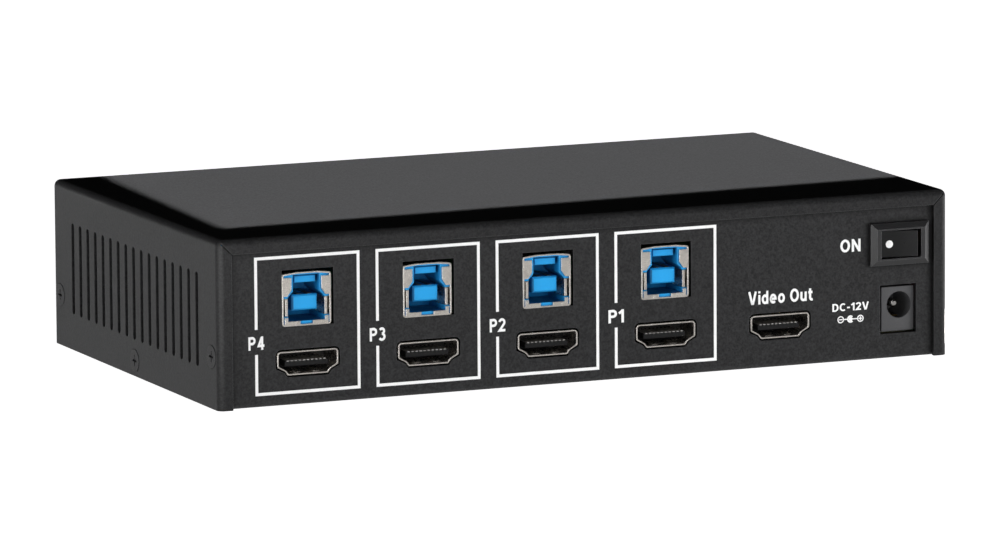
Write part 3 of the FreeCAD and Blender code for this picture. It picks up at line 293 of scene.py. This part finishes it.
# ---------------------------------------------------------------- material kit
class Look:
    """A Principled material with short calls for its procedural nodes."""

    def __init__(self, name):
        self.material = bpy.data.materials.new(name)
        self.material.use_nodes = True
        self.tree = self.material.node_tree
        self.shader = self.tree.nodes["Principled BSDF"]
        self.place = self.add("ShaderNodeTexCoord").outputs["Object"]

    def add(self, kind, **settings):
        node = self.tree.nodes.new(kind)
        for key, value in settings.items():
            setattr(node, key, value)
        return node

    def feed(self, socket, value):
        if isinstance(value, bpy.types.NodeSocket):
            self.tree.links.new(value, socket)
        else:
            socket.default_value = value

    def set(self, name, value):
        """Feed one of the shader's own sockets with a value or another node's output."""
        self.feed(self.shader.inputs[name], value)

    def stretched(self, scale):
        """The object's own coordinates, scaled along each axis."""
        node = self.add("ShaderNodeMapping")
        self.feed(node.inputs["Vector"], self.place)
        node.inputs["Scale"].default_value = scale
        return node.outputs["Vector"]

    def noise(self, size, detail=2.0, place=None):
        """Smooth noise whose lumps are about size across."""
        node = self.add("ShaderNodeTexNoise")
        self.feed(node.inputs["Vector"], place or self.place)
        node.inputs["Scale"].default_value = 1 / size
        node.inputs["Detail"].default_value = detail
        return node.outputs["Fac"]

    def cells(self, size, feature="F1", place=None):
        """Distance to the centres or edges of cells about size across."""
        node = self.add("ShaderNodeTexVoronoi", feature=feature)
        self.feed(node.inputs["Vector"], place or self.place)
        node.inputs["Scale"].default_value = 1 / size
        return node.outputs["Distance"]

    def span(self, value, low, high, from_low=0.0, from_high=1.0):
        """A value carried over from its own range, from_low to from_high, to low to high."""
        node = self.add("ShaderNodeMapRange")
        self.feed(node.inputs["Value"], value)
        node.inputs["From Min"].default_value = from_low
        node.inputs["From Max"].default_value = from_high
        node.inputs["To Min"].default_value = low
        node.inputs["To Max"].default_value = high
        return node.outputs["Result"]

    def combine(self, operation, a, b):
        """Two values put together by one arithmetic operation."""
        node = self.add("ShaderNodeMath", operation=operation)
        self.feed(node.inputs[0], a)
        self.feed(node.inputs[1], b)
        return node.outputs[0]

    def blend(self, factor, a, b):
        """A colour between a and b."""
        node = self.add("ShaderNodeMix", data_type="RGBA")
        self.feed(node.inputs["Factor"], factor)
        self.feed(node.inputs["A"], a)
        self.feed(node.inputs["B"], b)
        return node.outputs["Result"]

    def bump(self, height, depth, strength, normal=None):
        node = self.add("ShaderNodeBump")
        self.feed(node.inputs["Height"], height)
        node.inputs["Distance"].default_value = depth
        node.inputs["Strength"].default_value = strength
        if normal is not None:
            self.feed(node.inputs["Normal"], normal)
        return node.outputs["Normal"]

    def softened(self, radius):
        """The normal as if every sharp edge were rounded by radius."""
        soft = self.add("ShaderNodeBevel", samples=4)
        soft.inputs["Radius"].default_value = radius
        return soft.outputs["Normal"]

    def crevices(self, reach):
        """1 in the open, down to 0 deep in corners closer than reach: the mask for painted shade in corners."""
        node = self.add("ShaderNodeAmbientOcclusion", samples=4, only_local=False)
        node.inputs["Distance"].default_value = reach
        return node.outputs["AO"]

    def edges(self, soft):
        """From a softened normal: 0 on flat faces and up to 1 near sharp edges."""
        flat = self.add("ShaderNodeNewGeometry").outputs["Normal"]
        dot = self.add("ShaderNodeVectorMath", operation="DOT_PRODUCT")
        self.feed(dot.inputs[0], soft)
        self.feed(dot.inputs[1], flat)
        return self.span(dot.outputs["Value"], 1.0, 0.0, 0.75, 1.0)


def grey(value):
    """A faintly blue grey."""
    return (value, value, value * 1.04, 1.0)


def paint_look(name, strength=1.0):
    """Black powder coat: a fine pebbled skin, paler on its edges, partly from wear and partly as a painted
    highlight, and darkened in corners with painted shade.
    """
    m = Look(name)
    soft = m.softened(PAINT_EDGE)
    grain = m.noise(PAINT_GRAIN, 3.0)
    pebbles = m.cells(PAINT_PEBBLE)
    flecks = m.noise(PAINT_FLECK, 2.0)
    tone = m.combine("ADD", m.span(grain, -0.5, 0.5, 0.32, 0.68),
                     m.span(flecks, 0.2, 0.8, 0.34, 0.66))
    colour = m.blend(tone, grey(PAINT_DARK * strength), grey(PAINT_LIGHT * strength))
    # Paler edges: partly rubbed wear, partly a painted highlight.
    worn_and_highlit = m.blend(m.edges(soft), colour, grey(PAINT_WEAR_AND_HIGHLIGHT))
    # Painted shade: ambient occlusion darkens the coat in corners, along the flanges and in slots.
    corner = m.span(m.crevices(PAINT_SHADE_REACH), 0.0, 1.0, 0.5, 0.95)
    m.set("Base Color", m.blend(corner, grey(PAINT_CORNER_SHADE), worn_and_highlit))
    m.set("Roughness", m.span(grain, 0.37, 0.5, 0.3, 0.7))
    m.set("Specular IOR Level", 0.3)
    skin = m.bump(pebbles, 0.03 * MM, 0.4, normal=soft)
    m.set("Normal", m.bump(grain, 0.04 * MM, 0.6, normal=skin))
    return m.material


def screw_look():
    """Blackened steel under a patchy film, with brighter edges: partly rubbed wear, partly painted highlight."""
    m = Look("blackened_steel")
    soft = m.softened(SCREW_EDGE)
    film = m.noise(0.5 * MM, 4.0)
    colour = m.blend(film, grey(0.016), grey(0.03))
    # Brighter edges: partly rubbed wear, partly painted highlight.
    m.set("Base Color", m.blend(m.edges(soft), colour, grey(0.14)))
    m.set("Metallic", 0.3)
    m.set("Roughness", m.span(film, 0.36, 0.52))
    m.set("Normal", m.bump(m.noise(0.12 * MM, 2.0), 0.01 * MM, 0.5, normal=soft))
    return m.material


def rubber_look():
    """Dull black rubber under a film of dust."""
    m = Look("black_rubber")
    dust = m.noise(1.2 * MM, 4.0)
    m.set("Base Color", m.blend(m.span(dust, 0, 1, 0.55, 0.8), grey(0.018), grey(0.05)))
    m.set("Roughness", 0.85)
    m.set("Normal", m.bump(m.noise(0.25 * MM, 3.0), 0.04 * MM, 0.6))
    return m.material


def board_look():
    """Green solder mask over copper tracks, and dull brown laminate on the cut edges."""
    m = Look("green_circuit_board")
    wide = m.stretched((1.0, 0.35, 1.0))
    tracks = m.cells(2.6 * MM, feature="DISTANCE_TO_EDGE", place=wide)
    copper = m.span(tracks, 1.0, 0.0, 0.06, 0.1)
    weave = m.noise(0.4 * MM, 2.0)
    mask = m.blend(weave, (0.008, 0.07, 0.03, 1), (0.012, 0.1, 0.04, 1))
    printed = m.blend(copper, mask, (0.03, 0.2, 0.07, 1))
    facing = m.add("ShaderNodeSeparateXYZ")
    m.feed(facing.inputs[0], m.add("ShaderNodeNewGeometry").outputs["Normal"])
    face = m.combine("ABSOLUTE", facing.outputs["Z"], 0.0)
    m.set("Base Color", m.blend(face, (0.016, 0.014, 0.008, 1), printed))
    m.set("Roughness", m.span(weave, 0.28, 0.42))
    m.set("Normal", m.bump(copper, 0.03 * MM, 0.7))
    return m.material


def metal_look(name, light, dark, rough, size=1.5 * MM, stretch=(1, 1, 1), depth=0.006 * MM,
               burr=0.06 * MM, wear_and_highlight=None):
    """Bare or plated metal: cloudy tone, fine lines, and brighter edges where a colour for them is given, partly
    rubbed wear and partly painted highlight.
    """
    m = Look(name)
    soft = m.softened(burr)
    lines = m.noise(METAL_LINES, 2.0, place=m.stretched(stretch))
    cloud = m.noise(size, 4.0)
    colour = m.blend(m.span(cloud, 0, 1, 0.35, 0.75), light, dark)
    # Brighter edges: partly rubbed wear, partly painted highlight.
    if wear_and_highlight is not None:
        colour = m.blend(m.edges(soft), colour, wear_and_highlight)
    m.set("Base Color", colour)
    m.set("Metallic", 1.0)
    m.set("Roughness", m.span(m.combine("MULTIPLY", lines, cloud), rough[0], rough[1], 0.1, 0.45))
    m.set("Normal", m.bump(lines, depth, 0.6, normal=soft))
    return m.material


def plastic_look(name, light, dark, rough, specular=0.4, grain=0.25 * MM, depth=0.02 * MM,
                 wear_and_highlight=None, corner=None):
    """Moulded plastic: spark-eroded grain and flow clouds, with paler edges where a colour for them is given,
    partly rubbed wear and partly painted highlight, and painted shade in corners where a corner colour is given."""
    m = Look(name)
    soft = m.softened(PLASTIC_EDGE)
    cloud = m.noise(PLASTIC_CLOUD, 3.0)
    fine = m.noise(grain, 2.0)
    tone = m.combine("ADD", m.span(cloud, 0.2, 0.5, 0.3, 0.7), m.span(fine, 0.0, 0.3, 0.3, 0.7))
    colour = m.blend(tone, light, dark)
    # Paler edges: partly rubbed wear, partly painted highlight.
    if wear_and_highlight is not None:
        colour = m.blend(m.edges(soft), colour, wear_and_highlight)
    # Painted shade: ambient occlusion darkens the colour deep in corners and hollows.
    if corner is not None:
        open_share = m.span(m.crevices(PLASTIC_SHADE_REACH), 0.0, 1.0, 0.3, 0.95)
        colour = m.blend(open_share, corner, colour)
    m.set("Base Color", colour)
    m.set("Roughness", m.span(cloud, rough[0], rough[1], 0.3, 0.7))
    m.set("Specular IOR Level", specular)
    m.set("Normal", m.bump(fine, depth, 0.6, normal=soft))
    return m.material


def light_guide_look():
    """Clear moulded plastic with a little haze."""
    m = Look("clear_light_guide")
    haze = m.noise(0.8 * MM, 3.0)
    m.set("Base Color", m.blend(haze, (0.82, 0.9, 0.95, 1), (0.92, 0.95, 0.97, 1)))
    m.set("Transmission Weight", 0.75)
    m.set("Roughness", m.span(haze, 0.12, 0.3))
    m.set("IOR", 1.49)
    m.set("Normal", m.bump(haze, 0.01 * MM, 0.4))
    return m.material


def ink_look():
    """Screen-printed white: a slightly uneven film."""
    m = Look("white_print")
    film = m.noise(0.35 * MM, 3.0)
    m.set("Base Color", m.blend(m.span(film, 0, 1, 0.3, 0.7), (0.84, 0.84, 0.84, 1),
                                (0.90, 0.90, 0.90, 1)))
    m.set("Roughness", m.span(film, 0.5, 0.65))
    m.set("Specular IOR Level", 0.2)
    m.set("Normal", m.bump(film, 0.02 * MM, 0.5))
    return m.material


# Paler edge colours below are partly wear and partly painted highlight; corner colours are painted shade.
LOOKS = {                                  # by material slot
    "case_paint": paint_look("black_powder_coat"),
    "black_screw": screw_look(),
    "rubber": rubber_look(),
    "board": board_look(),
    "brass": metal_look("brass", (0.72, 0.53, 0.25, 1), (0.55, 0.38, 0.17, 1), (0.2, 0.4)),
    "zinc_steel": metal_look("zinc_plate", (0.66, 0.67, 0.70, 1), (0.5, 0.51, 0.55, 1),
                             (0.22, 0.42)),
    "contact_metal": metal_look("gold_flash", (0.85, 0.65, 0.30, 1), (0.72, 0.52, 0.24, 1),
                                (0.18, 0.32), size=0.6 * MM),
    # Nickel shells: their near-white edges are mostly a painted highlight on the rims, partly rubbed wear.
    "socket_shell": metal_look("nickel_plate", (0.84, 0.79, 0.73, 1), (0.70, 0.65, 0.59, 1),
                               (0.2, 0.38), size=2.0 * MM, stretch=(1, 0.05, 1),
                               burr=0.14 * MM, wear_and_highlight=(1.0, 0.97, 0.92, 1)),
    "black_plastic": plastic_look("matt_black_plastic", grey(0.02), grey(0.028), (0.5, 0.62),
                                  wear_and_highlight=grey(0.05)),
    # Blue sockets: the corner colour is painted shade deep in their hollows.
    "blue_plastic": plastic_look("satin_blue_plastic", (0.020, 0.385, 0.83, 1),
                                 (0.015, 0.33, 0.73, 1), (0.3, 0.44), depth=0.008 * MM,
                                 wear_and_highlight=(0.10, 0.5, 0.95, 1), corner=(0.004, 0.10, 0.30, 1)),
    # The centre pin is darker than plain nickel: painted shade for the jack's dark inside.
    "jack_pin": metal_look("bright_nickel", (0.46, 0.45, 0.43, 1), (0.36, 0.35, 0.33, 1),
                           (0.1, 0.2), size=0.8 * MM),
    "rocker_plastic": plastic_look("satin_black_plastic", grey(0.006), grey(0.009),
                                   (0.26, 0.36), specular=0.3, depth=0.006 * MM,
                                   wear_and_highlight=grey(0.07)),
    "button_plastic": plastic_look("button_plastic", grey(0.018), grey(0.024), (0.3, 0.42),
                                   specular=0.5, depth=0.01 * MM, wear_and_highlight=grey(0.06)),
    "plunger_plastic": plastic_look("plunger_plastic", grey(0.03), grey(0.04), (0.4, 0.5)),
    "light_guide": light_guide_look(),
    "lead_insulation": plastic_look("red_insulation", (0.42, 0.02, 0.02, 1),
                                    (0.33, 0.015, 0.015, 1), (0.35, 0.5)),
    "chip_resin": plastic_look("chip_epoxy", grey(0.025), grey(0.035), (0.5, 0.65)),
    "aluminium": metal_look("satin_aluminium", (0.80, 0.80, 0.81, 1), (0.66, 0.67, 0.69, 1),
                            (0.32, 0.5)),
}
BLACK_CORE = plastic_look("black_core_plastic", grey(0.006), grey(0.010), (0.4, 0.55),
                          specular=0.3)
NODE_LOOKS = {                             # nodes with a look of their own
    "top_cover": paint_look("cover_powder_coat", COVER_STRENGTH),
    "video_contacts": metal_look("dull_silver", (0.95, 0.93, 0.9, 1), (0.8, 0.78, 0.74, 1),
                                 (0.3, 0.45), size=0.6 * MM),
    # The upper row of contacts is darkened as painted shade, for the shadow it lies in.
    "uplink_contacts": metal_look("painted_shade_contact", (0.16, 0.14, 0.12, 1), (0.1, 0.09, 0.08, 1),
                                  (0.35, 0.5), size=0.6 * MM),
    "dc_jack_body": plastic_look("grey_plastic", grey(0.065), grey(0.085), (0.45, 0.6),
                                 wear_and_highlight=grey(0.1)),
    # The rocker bezel: its pale edge colour is mostly a painted highlight on the bevels, and its corner colour is
    # painted shade.
    "rocker_frame": plastic_look("bezel_plastic", grey(0.013), grey(0.024), (0.3, 0.4),
                                 specular=0.6, wear_and_highlight=grey(0.3), corner=grey(0.003)),
}
NODE_LOOKS.update({"video_core_" + port: BLACK_CORE for port in PORTS + ("out",)})
INK_LOOK = ink_look()


def dress_cad_nodes():
    """Every CAD node gets its own look, or else that of its material slot."""
    slots = {part["node"]: part["material_slot"] for part in frame["record"]["subparts"]}
    for name, obj in frame["nodes"].items():
        look = NODE_LOOKS.get(name) or LOOKS[slots[name]]
        for material_slot in obj.material_slots:
            material_slot.material = look


# ---------------------------------------------------------------- print
def rear_point(x, z, lift):
    """A point lifted off the rear panel."""
    return Vector((x, REAR + lift, z))


def front_point(x, z, lift):
    """A point lifted off the front panel."""
    return Vector((x, FRONT - lift, z))


def ride_print(name, mesh, body="case"):
    """Add one printed piece, which moves with a body."""
    mesh.materials.append(INK_LOOK)
    piece = bpy.data.objects.new(name, mesh)
    bpy.context.scene.collection.objects.link(piece)
    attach(piece, body)


def ribbon(points, width, closed=False):
    """Cross-sections of a line of even width along (x, z) points, mitred at its corners."""
    sections = []
    count = len(points)
    for i, (x, z) in enumerate(points):
        has_before = closed or i > 0
        has_after = closed or i < count - 1
        before = Vector(points[i]) - Vector(points[i - 1]) if has_before else None
        after = Vector(points[(i + 1) % count]) - Vector(points[i]) if has_after else None
        before = (before or after).normalized()
        after = (after or before).normalized()
        normal = Vector((-before.y - after.y, before.x + after.x)).normalized()
        reach = width / 2 / max(MITRE_LIMIT, normal.dot(Vector((-after.y, after.x))))
        sections.append(((x + normal.x * reach, z + normal.y * reach),
                         (x - normal.x * reach, z - normal.y * reach)))
    return (sections, closed)


def arc(x, z, across, up, start, end, steps=14):
    """Points along part of an ellipse, its half sizes across and up, angles in degrees."""
    angles = [math.radians(start + (end - start) * i / steps) for i in range(steps + 1)]
    return [(x + across * math.cos(a), z + up * math.sin(a)) for a in angles]


def ring(x, z, radius, width, steps=28):
    """A round line closed on itself."""
    return ribbon(arc(x, z, radius, radius, 0, 360, steps)[:-1], width, closed=True)


def disc(x, z, radius, steps=24):
    """A filled round, as cross-sections from one side to the other."""
    angles = [math.pi * (i + 0.5) / steps for i in range(steps)]
    return ([((x - radius * math.cos(a), z + radius * math.sin(a)),
              (x - radius * math.cos(a), z - radius * math.sin(a))) for a in angles], False)


def slab_mesh(name, ribbons, point):
    """Each ribbon made a thin closed slab on a panel, which point(x, z, lift) places.

    Every slab is a little thicker than the last, so that no two tops lie in one plane.
    """
    build = bmesh.new()
    for number, (sections, closed) in enumerate(ribbons):
        lift = INK + number * INK_STEP
        rows = []
        for a, b in sections:
            rows.append([build.verts.new(point(*a, lift)), build.verts.new(point(*b, lift)),
                         build.verts.new(point(*b, 0.0)), build.verts.new(point(*a, 0.0))])
        pairs = list(zip(rows, rows[1:]))
        if closed:
            pairs.append((rows[-1], rows[0]))
        else:
            build.faces.new(rows[0])
            build.faces.new(rows[-1])
        for row, after in pairs:
            for i in range(4):
                j = (i + 1) % 4
                build.faces.new((row[i], row[j], after[j], after[i]))
    bmesh.ops.recalc_face_normals(build, faces=build.faces)
    mesh = bpy.data.meshes.new(name)
    build.to_mesh(mesh)
    build.free()
    return mesh


# Plain stroke letters, one unit tall: each has its width and the lines of its strokes.
STROKE = 0.195
HALF = STROKE / 2
TOP = 1 - HALF


def upright(x, low=0.0, high=1.0):
    """One upright stroke of a letter."""
    return [(x, low), (x, high)]


LETTERS = {
    "P": (0.66, [upright(HALF), [(HALF, TOP), *arc(0.36, 0.70, 0.215, 0.215, 90, -90),
                                 (HALF, 0.485)]]),
    "1": (0.40, [upright(0.31), [(0.33, 0.93), (0.03, 0.70)]]),
    "2": (0.62, [[*arc(0.31, 0.70, 0.225, 0.215, 170, -38), (0.10, HALF), (0.62, HALF)]]),
    "3": (0.62, [arc(0.29, 0.72, 0.20, 0.195, 150, -90), arc(0.29, 0.305, 0.235, 0.22, 90, -150)]),
    "4": (0.68, [upright(0.48), [(0.44, 0.95), (0.15, 0.30), (0.68, 0.30)]]),
    "O": (0.80, [arc(0.40, 0.5, 0.315, 0.415, 0, 360)]),
    "N": (0.74, [upright(HALF), upright(0.74 - HALF), [(HALF, 0.95), (0.74 - HALF, 0.05)]]),
    "V": (0.76, [[(0.08, 1.0), (0.33, HALF), (0.43, HALF), (0.68, 1.0)]]),
    "D": (0.72, [upright(HALF), [(HALF, TOP), *arc(0.32, 0.5, 0.315, 0.415, 90, -90),
                                 (HALF, HALF)]]),
    "C": (0.72, [arc(0.40, 0.5, 0.315, 0.415, 48, 312)]),
    "i": (0.17, [upright(HALF, 0.0, 0.72), upright(HALF, 0.84, 1.0)]),
    "d": (0.60, [upright(0.60 - HALF), arc(0.30, 0.36, 0.215, 0.28, 0, 360)]),
    "e": (0.60, [[(0.10, 0.35), *arc(0.30, 0.36, 0.215, 0.28, 0, 318)]]),
    "o": (0.62, [arc(0.31, 0.36, 0.225, 0.28, 0, 360)]),
    "u": (0.58, [upright(0.58 - HALF, 0.0, 0.72),
                 [(HALF, 0.72), *arc(0.28, 0.28, 0.195, 0.195, 180, 350)]]),
    "t": (0.40, [[(0.17, 0.93), *arc(0.34, 0.25, 0.17, 0.165, 180, 270), (0.40, HALF)],
                 [(0.0, 0.65), (0.38, 0.65)]]),
    "-": (0.34, [[(0.0, 0.42), (0.34, 0.42)]]),
    " ": (0.20, []),
}
LETTER_GAP = 0.15
JOINED = 0.001                             # a stroke whose ends are this close is a closed loop


def label(name, words, left, right, low, height, point):
    """Words printed on a panel: left and right are the ends of the line as a reader sees it."""
    strokes = []
    pen = 0.0
    for letter in words:
        width, lines = LETTERS[letter]
        for line in lines:
            loop = math.dist(line[0], line[-1]) < JOINED
            points = [(pen + x, z) for x, z in (line[:-1] if loop else line)]
            strokes.append(ribbon(points, STROKE, closed=loop))
        pen += width + LETTER_GAP
    pen -= LETTER_GAP

    def fitted(spot):
        x, z = spot
        return (left + x / pen * (right - left), low + z * height)

    placed = [([(fitted(a), fitted(b)) for a, b in sections], closed)
              for sections, closed in strokes]
    ride_print(name, slab_mesh(name, placed, point))


def rear_label(name, words, x, low, width, height):
    """Words centred on x on the rear panel, where a reader's left is +X."""
    label(name, words, x + width / 2, x - width / 2, low, height, rear_point)


def port_centre(port):
    """The middle of a port's video socket, along x."""
    low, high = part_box("video_shell_" + port)
    return (low.x + high.x) / 2


def print_port_frames():
    """A frame round each pair of sockets, open at its left side for the port's name."""
    for number, port in enumerate(PORTS, 1):
        x = port_centre(port)
        left = x + FRAME_WIDTH / 2
        right = x - FRAME_WIDTH / 2
        path = [(left, GAP_HIGH), (left, FRAME_HIGH), (right, FRAME_HIGH), (right, FRAME_LOW),
                (left, FRAME_LOW), (left, GAP_LOW)]
        mesh = slab_mesh("print_frame_" + port, [ribbon(path, LINE)], rear_point)
        ride_print("print_frame_" + port, mesh)
        rear_label("print_label_" + port, "P" + str(number), left, PORT_LABEL_LOW,
                   PORT_LABEL_WIDTH, PORT_LABEL_HEIGHT)


def print_rear_labels():
    """The words over the output socket and beside the rocker and the inlet."""
    rear_label("print_video_out", "Video Out", port_centre("out") + OUT_LABEL_SHIFT,
               OUT_LABEL_LOW, OUT_LABEL_WIDTH, OUT_LABEL_HEIGHT)
    rear_label("print_on", "ON", SIGNS_X, ON_LABEL_LOW, ON_LABEL_WIDTH, ON_LABEL_HEIGHT)
    rear_label("print_supply", "DC-12V", SIGNS_X, SUPPLY_LABEL_LOW, SUPPLY_LABEL_WIDTH,
               SUPPLY_LABEL_HEIGHT)


def print_polarity():
    """The centre-positive sign: minus in a ring, an open cup round a dot, plus in a ring."""
    z = POLARITY_Z
    minus_x = SIGNS_X + POLARITY_HALF
    plus_x = SIGNS_X - POLARITY_HALF
    shapes = [ring(minus_x, z, POLARITY_RING, POLARITY_LINE),
              ring(plus_x, z, POLARITY_RING, POLARITY_LINE)]
    cup = arc(SIGNS_X, z, POLARITY_RING, POLARITY_RING, -135, 135)
    shapes.append(ribbon(cup, POLARITY_CUP_LINE))
    shapes.append(disc(SIGNS_X, z, POLARITY_DOT))
    spans = [(minus_x - POLARITY_RING, SIGNS_X + POLARITY_RING),
             (SIGNS_X - POLARITY_TAIL, plus_x + POLARITY_RING)]
    for x in (minus_x, plus_x):
        spans.append((x - POLARITY_BAR, x + POLARITY_BAR))
    for start, end in spans:
        shapes.append(ribbon([(start, z), (end, z)], POLARITY_LINE))
    shapes.append(ribbon([(plus_x, z - POLARITY_BAR), (plus_x, z + POLARITY_BAR)], POLARITY_LINE))
    ride_print("print_polarity", slab_mesh("print_polarity", shapes, rear_point))


def print_front():
    """A number under each front button."""
    for number in range(1, len(PORTS) + 1):
        low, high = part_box("select_button_" + str(number))
        x = (low.x + high.x) / 2
        label("print_number_" + str(number), str(number), x - NUMBER_WIDTH / 2,
              x + NUMBER_WIDTH / 2, low.z - NUMBER_DROP, NUMBER_HEIGHT, front_point)


def print_rocker_dot():
    """The white dot beside the paddle's pressed end, laid on its hollowed face."""
    joint = next(j for j in frame["joints"] if j["name"] == "rocker_tilt")
    pivot = Vector(joint["pos_m"])
    curve = (PADDLE_HALF ** 2 + PADDLE_HOLLOW ** 2) / (2 * PADDLE_HOLLOW)
    turn = Matrix.Rotation(math.radians(PADDLE_TILT), 3, "Z")

    def on_face(radius, angle, lift):
        u = DOT_ALONG + radius * math.cos(angle)
        v = PADDLE_RISE - PADDLE_HOLLOW + curve - math.sqrt(curve ** 2 - u ** 2) + lift
        return pivot + turn @ Vector((u, v, radius * math.sin(angle)))

    build = bmesh.new()
    rings = []
    for share, lift in DOT_RINGS:
        rings.append([build.verts.new(on_face(DOT_RADIUS * share, math.tau * i / DOT_STEPS, lift))
                      for i in range(DOT_STEPS)])
    for inner, outer in zip(rings[1:], rings):
        for i in range(DOT_STEPS):
            j = (i + 1) % DOT_STEPS
            build.faces.new((outer[i], outer[j], inner[j], inner[i]))
    build.faces.new(rings[-1])
    build.faces.new(list(reversed(rings[0])))
    bmesh.ops.recalc_face_normals(build, faces=build.faces)
    mesh = bpy.data.meshes.new("print_rocker_dot")
    build.to_mesh(mesh)
    build.free()
    ride_print("print_rocker_dot", mesh, body="rocker")


make_camera()
make_world()
make_floor()
make_lights()
make_lid_patch()
dress_cad_nodes()
print_port_frames()
print_rear_labels()
print_polarity()
print_front()
print_rocker_dot()
